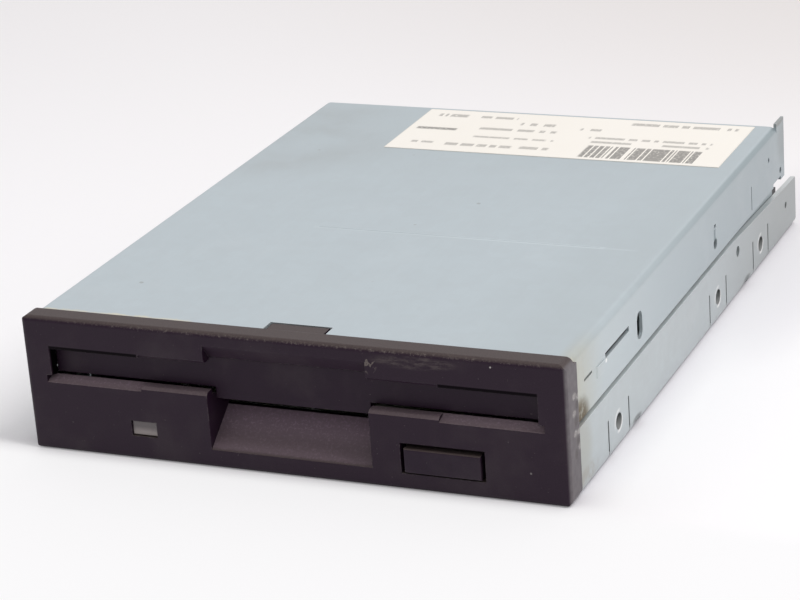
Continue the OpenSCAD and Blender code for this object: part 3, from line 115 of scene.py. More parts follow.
def adds(operation, swapped=False):
    """An operator that adds one Math node. Swapped, its wire comes last, as in 1 - mask."""
    def operate(wire, *other):
        return wire.math(operation, *((*other, wire) if swapped else (wire, *other)))
    return operate


class Wire:
    """One output of a node, with arithmetic that adds Math nodes to its shader."""

    def __init__(self, shader, socket):
        self.shader = shader
        self.socket = socket

    def math(self, operation, *terms):
        return self.shader.node("ShaderNodeMath", {"operation": operation}, dict(enumerate(terms)))

    __add__, __radd__ = adds("ADD"), adds("ADD", swapped=True)
    __sub__, __rsub__ = adds("SUBTRACT"), adds("SUBTRACT", swapped=True)
    __mul__, __rmul__ = adds("MULTIPLY"), adds("MULTIPLY", swapped=True)
    __truediv__, __rtruediv__ = adds("DIVIDE"), adds("DIVIDE", swapped=True)
    __pow__, __abs__ = adds("POWER"), adds("ABSOLUTE")
    __gt__, __lt__ = adds("GREATER_THAN"), adds("LESS_THAN")
    __or__, floor = adds("MAXIMUM"), adds("FLOOR")

    def wave(self, pitch):
        """A wave from -1 to 1 that repeats at the given pitch."""
        return self.math("SINE", self * (math.tau / pitch))


def any_of(masks):
    """The greatest of several masks."""
    return reduce(operator.or_, masks)


def distance(across, along):
    """How far a point lies from a centre, from its two offsets."""
    return (across * across + along * along) ** 0.5


print("a wire takes the operators + - * / ** | < >")

# %% [markdown]
# ## Shaders and finishes
# A shader tree has one general method that adds any node: the type, the settings, which are set first, and
# then what goes into the sockets. A colour is built up as on the real thing, one coat after another, and
# each coat is a mask and a colour.

# %% Shader trees


class Shader:
    """A tree of nodes with the shader at its end."""

    def __init__(self, tree, end):
        self.tree = tree
        self.end = end

    def node(self, kind, settings=None, sockets=None, output=0):
        """Adds a node and gives back one of its outputs."""
        made = self.tree.nodes.new(kind)
        for key, value in (settings or {}).items():
            setattr(made, key, value)
        for key, value in (sockets or {}).items():
            if isinstance(value, Wire):
                self.tree.links.new(value.socket, made.inputs[key])
            else:
                made.inputs[key].default_value = value
        return Wire(self, made.outputs[output])

    def feed(self, **sockets):
        """Feeds varying values to the sockets of the shader at the end."""
        for name, wire in sockets.items():
            self.tree.links.new(wire.socket, self.end.inputs[name.replace("_", " ")])
        return self

    def split(self, vector):
        """The three coordinates of a vector."""
        return [self.node("ShaderNodeSeparateXYZ", None, {0: vector}, axis) for axis in range(3)]

    def step(self, value, low, high):
        """0 below low, 1 above high and a soft step between."""
        return self.node("ShaderNodeMapRange", {"interpolation_type": "SMOOTHSTEP"}, {
            "Value": value, "From Min": low, "From Max": high})

    def mix(self, factor, first, second):
        """Mixes two colours, each a wire or three numbers."""
        first, second = (each if isinstance(each, Wire) else (*each, 1.0) for each in (first, second))
        return self.node("ShaderNodeMix", {"data_type": "RGBA"}, {0: factor, 6: first, 7: second}, 2)

    def layers(self, tone, *coats):
        """Lays coats over a tone in order, each a mask and a colour."""
        for mask, colour in coats:
            tone = self.mix(mask, tone, colour)
        return tone


print("shader trees can", ", ".join(name for name in vars(Shader) if not name.startswith("_")))

# %% [markdown]
# A finish is such a tree round one Principled shader, with the few masks that every finish of this drive
# needs: a place on the drive in millimetres, cloudy noise, a soft step, worn edges and dirty corners.

# %% Finishes


class Finish(Shader):
    """A material round one Principled shader, whose plain values are given by name."""

    def __init__(self, name, **plain):
        self.material = bpy.data.materials.new(name)
        self.material.use_nodes = True
        tree = self.material.node_tree
        super().__init__(tree, tree.nodes["Principled BSDF"])
        for socket, value in plain.items():
            self.end.inputs[socket.replace("_", " ")].default_value = value

    def __str__(self):
        return self.material.name

    def paint(self, tone, *coats):
        """Feeds the base colour: a tone, and coats over it."""
        return self.feed(Base_Color=self.layers(tone, *coats))

    @cached_property
    def place(self):
        return self.node("ShaderNodeTexCoord", output="Object")

    @cached_property
    def ruler(self):
        """The three coordinates in millimetres, the second measured back from the bezel's face."""
        x, y, z = self.split(self.place)
        return x * PER_METRE, (y - bezel_face) * PER_METRE, z * PER_METRE

    def stretched(self, x, y, z):
        return self.node("ShaderNodeVectorMath", {"operation": "MULTIPLY"}, {0: self.place, 1: (x, y, z)})

    def cloud(self, grain, detail=3.0, rough=0.55, vector=None):
        """Noise from 0 to 1 whose blotches are about that many millimetres across."""
        return self.node("ShaderNodeTexNoise", None, {
            "Vector": vector or self.place, "Scale": PER_METRE / grain,
            "Detail": detail, "Roughness": rough})

    def chance(self, value):
        """A random number from 0 to 1 that is the same for the same value."""
        return self.node("ShaderNodeTexWhiteNoise", {"noise_dimensions": "1D"}, {"W": value}, "Value")

    def between(self, value, low, high, soft):
        """1 from low to high, with soft ends."""
        return self.step(value, low - soft, low + soft) * (1 - self.step(value, high - soft, high + soft))

    def patch(self, centre, reach):
        """A soft round spot of the given reaches about a point, in millimetres."""
        offs = [(axis - middle) / half for axis, middle, half in zip(self.ruler, centre, reach)]
        return 1 - self.step(reduce(operator.add, (off * off for off in offs)), 0.1, 1.0)

    def rounded(self, radius):
        """The normal as if the edges were rounded off."""
        return self.node("ShaderNodeBevel", {"samples": 6}, {"Radius": radius * MM})

    def edges(self, radius, low=0.015, high=0.12):
        """A mask of the sharp edges, from how far a rounded normal leans from the face's own."""
        plain = self.node("ShaderNodeNewGeometry", output="True Normal")
        lean = self.node("ShaderNodeVectorMath", {"operation": "DOT_PRODUCT"},
                         {0: self.rounded(radius), 1: plain}, "Value")
        return self.step(1 - lean, low, high)

    def facing_up(self, low, high):
        """A mask of the faces that look up, where dust settles."""
        normal = self.node("ShaderNodeNewGeometry", output="Normal")
        return self.step(self.split(normal)[2], low, high)

    def corners(self, reach):
        """A mask of inner corners and of places close to another face."""
        return 1 - self.node("ShaderNodeAmbientOcclusion", {"samples": 6}, {"Distance": reach * MM}, "AO")

    def bump(self, height, strength, depth, normal=None):
        """A normal from a height of 0 to 1; depth is in millimetres."""
        sockets = {"Height": height, "Strength": strength, "Distance": depth * MM}
        if normal:
            sockets["Normal"] = normal
        return self.node("ShaderNodeBump", None, sockets)


def shade(colour, factor):
    """A colour made lighter or darker."""
    return tuple(min(1.0, factor * part) for part in colour)


print("ready to mix finishes for", len(set(slot_of.values())), "slots")

# %% [markdown]
# ## The camera
# The photograph was taken from the right of the front and a little above, with a long lens. Known distances
# on the drive, such as its width and the spacing of its side holes, give the place of the camera, so it is
# set from that fit and not by eye.

# %% Camera
SENSOR = 36.0
IMAGE_WIDTH = 800
FOCAL_PIXELS = 2657.2
CAMERA_PLACE = (189.85, -370.65, 190.73)


def add_object(name, data):
    """A new object of the scene."""
    thing = bpy.data.objects.new(name, data)
    bpy.context.scene.collection.objects.link(thing)
    return thing


to_right = Vector((0.919968, 0.385765, -0.069600))
to_below = Vector((0.079097, -0.356583, -0.930909))
to_front = Vector((-0.383930, 0.850902, -0.358557))

camera_data = bpy.data.cameras.new("camera")
camera_data.sensor_width = SENSOR
camera_data.lens = SENSOR * FOCAL_PIXELS / IMAGE_WIDTH
camera_data.clip_start = 0.01
camera = add_object("camera", camera_data)
turn = Matrix((to_right, -to_below, -to_front)).transposed().to_4x4()
camera.matrix_world = Matrix.Translation(at(*CAMERA_PLACE)) @ turn
bpy.context.scene.camera = camera
print("camera at", tuple(round(v, 3) for v in camera.location), "lens", round(camera_data.lens, 1))

# %% [markdown]
# ## Light and floor
# The drive lies on pale card in a light tent. The tent has a bright band low behind the drive, which the
# cover mirrors, and is dimmer on the side of the camera, which keeps the black front dark. A lamp like a
# tall window, high on the right, throws the shadow to the left: it is narrow across, so the shadow's front
# end is sharp, and tall, so the shadow fades away from the drive. World and lamp add up to about 1 on a
# level surface, so a colour comes out as it is written.

# %% World
bpy.context.scene.view_settings.view_transform = "Standard"
world = bpy.data.worlds.new("light tent")
world.use_nodes = True
bpy.context.scene.world = world
tent = Shader(world.node_tree, world.node_tree.nodes["Background"])
tent_y, tent_z = tent.split(tent.node("ShaderNodeTexCoord", output="Generated"))[1:]
behind = tent.step(tent_y, -0.3, 0.8) * (1 - tent.step(tent_z, 0.45, 0.85))
above = tent.step(tent_z, 0.1, 0.9)
tent_level = 0.36 + 0.42 * behind + 0.36 * above
tent.feed(Color=tent.mix(tent_level, (0.0, 0.0, 0.0), (1.0, 0.985, 1.0)))
print("world:", world.name)

# %% Lamp


def window_lamp(name, place, wide, tall, power, colour):
    """An oblong lamp that faces the drive."""
    data = bpy.data.lights.new(name, "AREA")
    data.shape = "RECTANGLE"
    data.size = wide
    data.size_y = tall
    data.energy = power
    data.color = colour
    lamp = add_object(name, data)
    lamp.location = place
    lamp.rotation_mode = "QUATERNION"
    lamp.rotation_quaternion = (-Vector(place)).to_track_quat("-Z", "Y")
    return lamp


key_lamp = window_lamp("key lamp", place=(0.70, -0.10, 0.98), wide=0.30, tall=0.80, power=6.9,
                       colour=(1.0, 0.985, 0.98))
print("lamp:", key_lamp.name)

# %% [markdown]
# The card is white near the drive. Painted shade makes it greyer far behind, most at the right, and a
# painted shadow darkens it close to the foot of the drive. In front of the bezel it also shines a little by
# itself, but only as it is seen or mirrored: so it stays white there and doesn't light the front.

# %% Card
FRONT_LIFT = 0.72
card = Finish("pale card", Roughness=0.7)
card_y = card.ruler[1]
# painted shade: greyer far behind, with a soft patch at the right rear
far_shade = 0.30 * card.step(card_y, 60.0, 330.0) + 0.56 * card.patch((140, 480, 0), (380, 380, 60))
in_front = (1 - card.step(card_y, -5.0, 3.0)) * card.patch((20, -30, 0), (320, 240, 60))
# painted shadow: darker close to the foot of the drive, except in front, and by the right wall towards the
# rear
foot_shadow = card.corners(8.0) * (1 - in_front) | 0.34 * card.patch((56, 128, 0), (26, 75, 60))
pale = card.mix(far_shade, (0.965, 0.96, 0.968), (0.75, 0.715, 0.695))
card.paint(
    pale, (foot_shadow, (0.66, 0.64, 0.69)), (0.03 * card.cloud(2.0), (0.6, 0.6, 0.6)))
card.feed(Normal=card.bump(card.cloud(0.8), 0.04, 0.1))
own_light = card.node("ShaderNodeEmission", None, {"Color": pale, "Strength": 1.0})
seen = any_of(card.node("ShaderNodeLightPath", output=ray) for ray in (
    "Is Camera Ray", "Is Glossy Ray", "Is Transmission Ray"))
lifted = card.node("ShaderNodeMixShader", None, {
    0: FRONT_LIFT * in_front * seen, 1: Wire(card, card.end.outputs[0]), 2: own_light})
card.tree.links.new(lifted.socket, card.tree.nodes["Material Output"].inputs["Surface"])
print("card:", card)

# %% Floor
FLOOR_HALF = 2.4


def add_mesh(shape, name, finish):
    """Turns a shape into an object that wears a finish."""
    mesh = bpy.data.meshes.new(name)
    shape.to_mesh(mesh)
    shape.free()
    mesh.materials.append(finish.material)
    return add_object(name, mesh)


sheet = bmesh.new()
bmesh.ops.create_grid(sheet, x_segments=8, y_segments=8, size=FLOOR_HALF)
floor = add_mesh(sheet, "floor", card)
floor.location.z = cad_box[0].z
print("floor", 2 * FLOOR_HALF, "m wide")

# %% [markdown]
# ## Black mouldings
# The bezel, flap and button are moulded in black plastic with a fine spark-eroded grain. Paint or a flat
# black would look like card: what shows it as plastic is a grain of about a quarter of a millimetre, gloss
# that varies with handling, and edges rubbed pale. The Bevel node finds the edges, so the wear sits where
# hands reach, and dust settles on the faces that look up.

# %% Black moulding
DUST = (0.13, 0.115, 0.11)
SETTLED_DUST = (0.135, 0.109, 0.088)
RUBBED = (0.17, 0.155, 0.15)


def black_moulding(name, colour, gloss, grain_depth, worn):
    moulding = Finish(name, IOR=1.45, Specular_IOR_Level=0.31)
    handled = moulding.cloud(11.0, 5.0)
    fine = moulding.cloud(0.24, 2.0)
    specks = moulding.step(moulding.cloud(0.5, 1.0), 0.76, 0.80)
    rubbed = moulding.edges(0.35) * moulding.step(moulding.cloud(0.9, 5.0, 0.65), 0.46, 0.66)
    settled = moulding.facing_up(0.3, 0.8) * (0.18 + 0.42 * fine)
    moulding.tone = moulding.layers(
        moulding.mix(fine, shade(colour, 0.55), shade(colour, 1.5)),
        (0.12 * moulding.step(handled, 0.45, 0.75), DUST),
        (0.3 * specks, DUST),
        # painted shade: a darker copy of the colour in the corners
        (0.4 * moulding.corners(1.2), shade(colour, 0.3)),
        (settled, SETTLED_DUST),
        (worn * rubbed, RUBBED))
    moulding.gloss = gloss + 0.14 * handled - 0.06 * rubbed
    moulding.feed(Base_Color=moulding.tone, Roughness=moulding.gloss)
    return moulding.feed(Normal=moulding.bump(fine, 0.4, grain_depth, moulding.rounded(0.22)))


flap = black_moulding("flap plastic", (0.0118, 0.0015, 0.0122), 0.44, 0.02, 0.25)
button = black_moulding("button plastic", (0.0125, 0.0025, 0.0138), 0.36, 0.015, 0.4)
bezel = black_moulding("bezel plastic", (0.0155, 0.0045, 0.0155), 0.43, 0.035, 0.4)
print("mouldings:", flap, button, bezel)

# %% [markdown]
# The ledges of the front are paler, partly with dust and partly with painted light: the lips below the slot,
# most at their ends and along the front edge, and the ramp of the finger recess, most at its top, where the
# recess holds most shade.

# %% Dust on the lips and the ramp
SLOT_FLOOR, SLOT_CEILING, SLOT_END = 14.0, 19.5, 45.7
RAMP_HALF, RAMP_FOOT, RAMP_TOP = 15.3, 3.6, 9.4
bezel_x, bezel_y, bezel_z = bezel.ruler
off_centre = abs(bezel_x)
flecks = bezel.step(bezel.cloud(0.45, 5.0, 0.7), 0.50, 0.66)
# dust and painted light on the lips below the slot
lip_dust_and_light = (bezel.between(bezel_z, SLOT_FLOOR - 1.0, SLOT_FLOOR + 0.1, 0.1) * bezel.facing_up(0.5, 0.9)
            * (0.55 + 0.45 * bezel.step(off_centre, 24.0, 31.0))
            * (0.55 + 0.45 * bezel.step(bezel_z, SLOT_FLOOR - 0.85, SLOT_FLOOR - 0.4)))
on_ramp = bezel.between(bezel_x, -RAMP_HALF, RAMP_HALF, 0.1) * bezel.facing_up(0.5, 0.7)
# painted light on the ramp, graded up its height where the recess keeps light out
ramp_painted_light = 0.05 * bezel.between(bezel_z, 3.3, 4.4, 0.3) + 0.62 * bezel.step(bezel_z, 4.9, 8.4)
ramp_dust_and_light = (0.40 + ramp_painted_light) * on_ramp * bezel.between(bezel_z, RAMP_FOOT, RAMP_TOP, 0.3)
dusty_and_lit = bezel.layers(
    bezel.tone,
    (lip_dust_and_light * (0.66 + 0.38 * flecks), (0.295, 0.225, 0.262)),
    (ramp_dust_and_light * (0.7 + 0.4 * flecks), (0.285, 0.208, 0.262)))
print("dust on lips at", SLOT_FLOOR, "mm and on a ramp", 2 * RAMP_HALF, "mm wide")

# %% [markdown]
# Light hardly reaches the narrow places: the crease above the ramp, the line over the slot and the slot's
# end walls. They are given a black that is also metallic, because a metal takes its sheen from its colour
# and a black one has none.

# %% Places in shade
ramp_crease = on_ramp * bezel.between(bezel_z, 8.95, 9.6, 0.08)
slot_line = (bezel.between(bezel_z, SLOT_CEILING - 0.1, SLOT_CEILING + 0.55, 0.08)
             * bezel.between(off_centre, 28.2, SLOT_END, 0.15) * (1 - bezel.step(bezel_y, 0.5, 0.8)))
end_wall = (bezel.between(off_centre, SLOT_END - 0.2, SLOT_END + 0.2, 0.08) * bezel.step(bezel_y, 0.3, 0.6)
            * bezel.between(bezel_z, SLOT_FLOOR + 0.1, SLOT_CEILING, 0.1))
in_shade = ramp_crease | 0.85 * slot_line | 0.9 * end_wall
shaded_bezel = bezel.layers(dusty_and_lit, (in_shade, (0.001, 0.001, 0.001)))
bezel.feed(Metallic=in_shade)
print("shade over the slot at", SLOT_CEILING, "mm")

# %% [markdown]
# The bezel has been knocked about: a smear and some fine scratches lie right of the thumb recess, and its
# right end is rubbed grey, pitted and chipped where it met the side of a case. A thin pale line along its
# top front edge is partly rubbed and partly a painted highlight. Each is a soft spot broken up by noise,
# placed with the ruler.

# %% Scuffs of the bezel
SIDE_X = 50.8


def side_spots(reach, *places):
    """Spots on the bezel's right end; their reach and each place are given back and up."""
    return any_of(bezel.patch((SIDE_X, *place), (1, *reach)) for place in places)


streaks = bezel.cloud(0.8, 6.0, 0.7, bezel.stretched(0.25, 1.0, 1.0))
smear = bezel.patch((24, 0, 23.5), (9, 2, 1.5)) * bezel.step(streaks, 0.34, 0.80)
thin_lines = 1 - bezel.step(abs(bezel.cloud(2.2, 2.0) - 0.5), 0.008, 0.035)
scratches = thin_lines * bezel.patch((15.8, 0, 22.6), (1.9, 2, 2.2))
# partly rub and partly painted highlight: a pale line along the top front edge
edge_rub_and_highlight = bezel.between(bezel_z, 24.75, 25.2, 0.15) * bezel.patch((4, 0.3, 25), (60, 0.9, 3))
pale_rubs_and_highlight = 0.5 * smear | 0.5 * edge_rub_and_highlight * flecks | 0.6 * scratches
nicks = (0.8 * bezel.patch((37.8, 0, 24.0), (0.2, 1, 0.2))
         | 0.24 * bezel.patch((43.9, 0, 5.6), (0.25, 1, 0.25)))
side_rub = bezel.step(bezel_x, 50.2, 50.7) * (0.3 + 0.6 * bezel.cloud(1.5, 5.0))
side_chips = side_spots((1.3, 0.7), (5.3, 11.9)) | 0.75 * side_spots(
    (1.1, 0.8), (3.5, 18.7), (3.2, 15.7), (3.4, 12.1), (5.3, 18.0), (5.3, 9.2))
side_pits = side_spots((1.1, 1.3), (3.9, 14.1)) | side_spots((0.9, 1.2), (3.4, 8.4), (4.4, 10.4), (4.6, 16.9))
bezel.feed(Roughness=bezel.gloss + 0.25 * (pale_rubs_and_highlight | side_chips))
bezel.paint(
    shaded_bezel,
    (side_rub, (0.19, 0.175, 0.18)),
    (0.6 * side_pits, (0.055, 0.045, 0.04)),
    (pale_rubs_and_highlight, (0.215, 0.185, 0.165)),
    (side_chips * (0.4 + 0.6 * flecks) | nicks, (0.58, 0.56, 0.53)))
print("scuffs on", bezel)

# %% [markdown]
# ## The lamp window
# The window is the end of a clear light pipe, seen unlit: smoky grey, with painted shade at the top where it
# looks into the drive and painted light along its lower edge. The lamp behind it is milky.

# %% Lamp window
lens = Finish("lamp lens", IOR=1.49, Coat_Weight=0.4)
# painted light along the lower edge; painted shade above it
lit_foot = 1 - lens.step(lens.ruler[2] + 0.5 * lens.cloud(2.0), 5.2, 6.6)
lens.paint(
    lens.mix(lit_foot, (0.100, 0.083, 0.085), (0.26, 0.225, 0.215)),
    (0.5 * lens.edges(0.25), (0.03, 0.026, 0.028)))
lens.feed(Roughness=0.18 + 0.14 * lens.cloud(1.2))

milky = Finish("lamp body", Roughness=0.3, IOR=1.5, Transmission_Weight=0.25)
milky.paint(milky.mix(milky.cloud(1.5), (0.30, 0.42, 0.26), (0.40, 0.50, 0.34)))
milky.feed(Normal=milky.bump(milky.cloud(0.5), 0.1, 0.05))
print("lamp:", lens, milky)

# %% [markdown]
# ## Sheet steel
# The cover and the chassis are plated steel: a cool grey with a faint mottle, softer than a mirror. A
# metallic surface takes its look from the light tent, so the finish only varies its roughness and tint,
# adds fingermarks and grime in the corners, and keeps bright sheared edges.

# %% Plated steel
CRYSTALS_PER_METRE = 420.0


def plated_steel(name, tint, rough, mottle=0.07, metal=0.75, grimy=0.5):
    steel = Finish(name)
    blotch = steel.cloud(9.0, 4.0)
    crystals = steel.node("ShaderNodeTexVoronoi", None, {
        "Vector": steel.place, "Scale": CRYSTALS_PER_METRE}, "Color")
    crystal = steel.node("ShaderNodeSeparateColor", None, {0: crystals})
    rolled = steel.cloud(0.9, 3.0, 0.6, steel.stretched(1.0, 0.06, 1.0))
    grime = grimy * steel.corners(2.5) * steel.step(steel.cloud(2.4, 5.0), 0.40, 0.70)
    uneven = 0.5 * blotch + 0.25 * crystal + 0.25 * rolled
    steel.tone = steel.layers(
        steel.mix(uneven, shade(tint, 1 - mottle), shade(tint, 1 + mottle)),
        (grime, (0.20, 0.17, 0.13)),
        (0.5 * steel.edges(0.25, 0.03, 0.2), (0.84, 0.85, 0.86)))
    marks = steel.step(steel.cloud(16.0, 6.0, 0.65), 0.50, 0.72)
    steel.gloss = rough + 0.10 * blotch + 0.06 * crystal - 0.07 * marks
    steel.feed(Base_Color=steel.tone, Roughness=steel.gloss, Metallic=metal - 0.5 * grime)
    return steel.feed(Normal=steel.bump(0.5 * steel.cloud(0.35, 2.0) + 0.5 * rolled, 0.10, 0.02))


COVER_METAL = 0.6
cover = plated_steel("cover steel", (0.545, 0.615, 0.645), 0.42, metal=COVER_METAL, grimy=0.25)
chassis = plated_steel("chassis steel", (0.508, 0.552, 0.562), 0.36, 0.12)
mechanism_steel = plated_steel("mechanism steel", (0.66, 0.66, 0.64), 0.30, metal=0.9)
print("steels:", cover, chassis, mechanism_steel)

# %% [markdown]
# The cover isn't one even sheet. The crease pressed across its top shows as a pale line, a painted highlight,
# and its rising wall is painted light; the bend to the skirt is painted darker as shade; painted shade
# darkens the skirt towards the rear and painted light brightens its front; and a bloom lies at the left rear.

# %% Crease, bend and skirt of the cover: painted light and shade, and a bloom
cover_x, cover_y = cover.ruler[:2]
crease = cover.between(cover_y, 54.7, 55.8, 0.15) * cover.between(cover_x, -19.0, 39.0, 0.5)
# painted light on the crease's rising wall, which is also made less metallic below
lit_crease_wall = crease * (1 - cover.facing_up(0.6, 0.95))
# painted highlight: the pale line along the crease and on past its end
crease_highlight = crease * (0.2 + 0.3 * cover.step(cover_x, -6.0, 16.0))
crease_highlight_end = cover.between(cover_y, 54.8, 55.5, 0.2) * cover.between(cover_x, 38.5, 44.5, 1.5)
bloom = cover.patch((-44, 104, 24.8), (26, 30, 6)) * cover.step(cover.cloud(22.0, 5.0), 0.35, 0.75)
spots = cover.step(cover.cloud(3.0, 1.0, 0.4), 0.79, 0.82)
dimmed = cover.step(cover_y, 55.0, 125.0) | cover.step(cover_x, 22.0, 48.0)
# painted shade on the bend from the top to the skirt
bend = cover.facing_up(0.15, 0.45) * (1 - cover.facing_up(0.80, 0.98))
upright = 1 - cover.facing_up(0.1, 0.6)
cover_marks_and_painted_light = cover.layers(
    cover.tone,
    (0.15 * dimmed, (0.38, 0.42, 0.42)),
    (0.3 * bloom, (0.36, 0.37, 0.36)),
    (0.4 * spots, (0.25, 0.24, 0.22)),
    (crease_highlight | 0.3 * crease_highlight_end, (0.66, 0.735, 0.765)),
    (lit_crease_wall, (0.78, 0.85, 0.88)),
    (bend * (0.15 + 0.70 * cover.step(cover_y, 10.0, 120.0)), (0.32, 0.38, 0.40)),
    # painted shade: the skirt darker towards the rear
    (upright * (0.12 + 0.55 * cover.step(cover_y, 10.0, 125.0)), (0.365, 0.41, 0.43)),
    # painted light: the skirt lighter at its front
    (0.13 * upright * (1 - cover.step(cover_y, 12.0, 60.0)), (0.72, 0.73, 0.70)))
print("crease and film on", cover)

# %% [markdown]
# Years in a case leave their marks: bits of old glue along the edge behind the bezel and a yellowed corner
# with a brown stain at the right front of the skirt. A painted highlight puts one bright fleck behind the
# stain, and the ear at the rear is darker along its top edge. Glue and rust aren't metal, so the finish
# loses its metallic part there.

# %% Stains of the cover
ragged = cover.cloud(1.6, 5.0, 0.65)
left_end = 1 - cover.step(cover_x, -30.0, -16.0)
glue = (1 - cover.step(cover_y + 2.6 * ragged, 6.9, 7.5)) * cover.step(
    cover.cloud(6.0, 4.0), 0.62 - 0.26 * left_end, 0.68 - 0.22 * left_end)
yellowed = (cover.patch((50.4, 12.0, 18.5), (4, 40, 10.5)) * (1 - cover.step(cover_y, 3.0, 21.0))
            * (0.45 + 0.55 * ragged))
rust = cover.patch((50.4, 7.2, 12.7), (2.0, 5.4, 4.8)) * cover.step(ragged, 0.20, 0.54)
# painted highlight: a bright fleck on the skirt
glint = cover.patch((50.6, 21.2, 17.8), (1, 0.6, 0.5))
# darker along the ear's top edge at the rear and below it
ear_darkened = (0.5 * cover.patch((50.1, 132.5, 25.2), (1.2, 4.5, 0.9))
            | 0.2 * cover.patch((50.1, 136, 21), (2, 7, 7)))
cover.paint(
    cover_marks_and_painted_light,
    (ear_darkened, (0.20, 0.18, 0.15)),
    (0.9 * yellowed, (0.46, 0.435, 0.33)),
    (0.6 * glue, (0.66, 0.60, 0.42)),
    (0.95 * rust, (0.105, 0.076, 0.035)),
    (0.8 * glint, (0.95, 0.95, 0.93)))
cover.feed(Roughness=cover.gloss + 0.2 * (glue | rust))
cover.feed(Metallic=COVER_METAL * (1 - 0.9 * (glue | rust | lit_crease_wall | 0.4 * yellowed)))
print("stains on", cover)

# %% [markdown]
# The chassis shows its walls. Screws have burnished a rim round each mounting hole, painted bright on the
# sides that catch the light, partly as a painted highlight, and the upper part of the bore is painted dark
# as shade. The slits beside it run out in scored lines, painted shade lies over the notches of the lower
# edge, painted light brightens the wall's top edge under the skirt, and painted shade darkens the wall
# towards the rear.

# %% Marks of the walls
HOLES_BACK, HOLE_HEIGHT, HOLE_R = (25.0, 85.0, 115.0), 5.0, 1.5
SLIT_OFF, SLIT_FOOT = 5.5, 1.6
wall_x, wall_y, wall_z = chassis.ruler
bright = []
# painted shade over the notches of the lower edge
dark = [0.6 * chassis.patch((SIDE_X, 34.7, 1.4), (2, 3.0, 0.9)),
        0.6 * chassis.patch((SIDE_X, 104.8, 1.3), (2, 3.0, 1.0))]
for hole_y in HOLES_BACK:
    off_y, off_z = wall_y - hole_y, wall_z - HOLE_HEIGHT
    hole_r = distance(off_y, off_z)
    # bright rims: partly burnish, partly painted highlight on the sides that catch the light
    near_rim = chassis.between(hole_r, 1.45, 2.0, 0.25) * chassis.step(off_y - 1.2 * off_z, 0.3, 2.2)
    far_rim = chassis.between(hole_r, 1.7, 2.3, 0.25) * chassis.step(off_z - off_y, 0.6, 2.2)
    bore = 1 - chassis.step(hole_r, HOLE_R + 0.02, HOLE_R + 0.1)
    score = (chassis.between(abs(off_y), SLIT_OFF - 0.2, SLIT_OFF + 0.2, 0.1)
             * chassis.between(wall_z, 0.5, SLIT_FOOT, 0.15))
    bright += [near_rim, 0.6 * far_rim]
    # painted shade in the upper part of the bore, and a scored line below each slit
    dark += [0.8 * bore * chassis.step(off_z, -0.9, 0.4), 0.7 * score]
# painted light on the wall's top edge, which lies in shade under the skirt
lit_top_edge = (chassis.facing_up(0.7, 0.95) * chassis.step(wall_z, 9.0, 9.6)
            * chassis.step(abs(wall_x), 49.4, 49.7))
front_film = chassis.patch((SIDE_X, 5.5, 8.0), (2, 7, 8))
smudge = chassis.patch((SIDE_X, 9.0, 2.4), (2, 6, 2.4)) * chassis.step(chassis.cloud(2.2, 4.0), 0.3, 0.7)
chassis.paint(
    chassis.tone,
    # painted shade: the wall darker towards the rear
    (0.60 * chassis.step(wall_y, 70.0, 135.0), (0.345, 0.36, 0.35)),
    (0.5 * front_film, (0.38, 0.37, 0.31)),
    (0.5 * smudge, (0.34, 0.30, 0.24)),
    (0.55 * lit_top_edge, (0.80, 0.83, 0.83)),
    (any_of(dark), (0.07, 0.075, 0.07)),
    (0.8 * any_of(bright), (0.92, 0.92, 0.90)))
print("marks round", len(HOLES_BACK), "holes of", chassis)

# %% [markdown]
# ## The paper label
# The label is off-white paper. Its print is only rows of grey dashes and a row of bars, with no letters:
# each row is a band along the ruler, cut into dashes by chance in equal steps.

# %% Label
paper = Finish("label paper")
paper_x, paper_y = paper.ruler[:2]


def band(x_from, x_to, y_from, y_to):
    return paper.between(paper_x, x_from, x_to, 0.3) * paper.between(paper_y, y_from, y_to, 0.3)


def dashes(x_from, x_to, y_from, y_to, step, share=0.72):
    """A band cut into steps, of which about that share is printed."""
    steps = (paper_x / step + 7.3 * y_from).floor()
    return band(x_from, x_to, y_from, y_to) * (paper.chance(steps) < share)


rows = [
    (15.0, 41.0, 115.6, 116.8, 0.9), (16.3, 41.0, 113.0, 114.2, 1.3), (21.0, 43.5, 125.4, 127.0, 0.8),
    (-13.3, 1.3, 106.4, 108.0, 0.7), (3.1, 9.2, 106.6, 108.2, 0.9), (-9.8, 7.2, 117.4, 118.8, 1.2),
    (-13.5, -3.8, 124.8, 126.2, 0.8), (-20.7, -15.9, 107.0, 108.2, 0.8), (-9.0, 8.5, 112.2, 113.2, 1.0),
    (-2.0, 5.5, 121.5, 123.2, 1.5), (-21.5, -15.0, 124.6, 126.4, 0.6, 0.85), (11.5, 16.0, 120.4, 121.8, 0.8),
]
faint = any_of(dashes(*row) for row in rows)
strong = dashes(16.6, 40.8, 104.0, 111.4, 0.3, 0.78) | band(-23.0, -14.2, 115.8, 117.2)
ink = (0.5 * faint | 0.75 * strong) * paper.step(paper.cloud(0.5, 3.0), 0.22, 0.5)
paper.paint(
    paper.mix(paper.cloud(18.0, 4.0), (0.94, 0.91, 0.85), (0.905, 0.87, 0.79)),
    (0.06 * paper.cloud(0.3, 3.0), (0.60, 0.55, 0.45)),
    (0.3 * paper.edges(0.4), (0.45, 0.40, 0.32)),
    (ink, (0.10, 0.095, 0.09)))
paper.feed(Roughness=0.5 + 0.2 * paper.cloud(6.0), Normal=paper.bump(paper.cloud(0.25, 3.0), 0.12, 0.02))
print("label printed with", len(rows), "plain rows and a row of bars")

# %% [markdown]
# ## Bright metal parts
# Pins, rods and screws are turned or drawn from bright steel, the chuck is turned from alloy, the bearing
# is sintered bronze and the stepper's can is nickel plated. They share one recipe: a metal whose tool marks
# run round it or along it, and a little tarnish in the corners.

# %% Turned and drawn metal
SPINDLE = (0.0, 54.0)


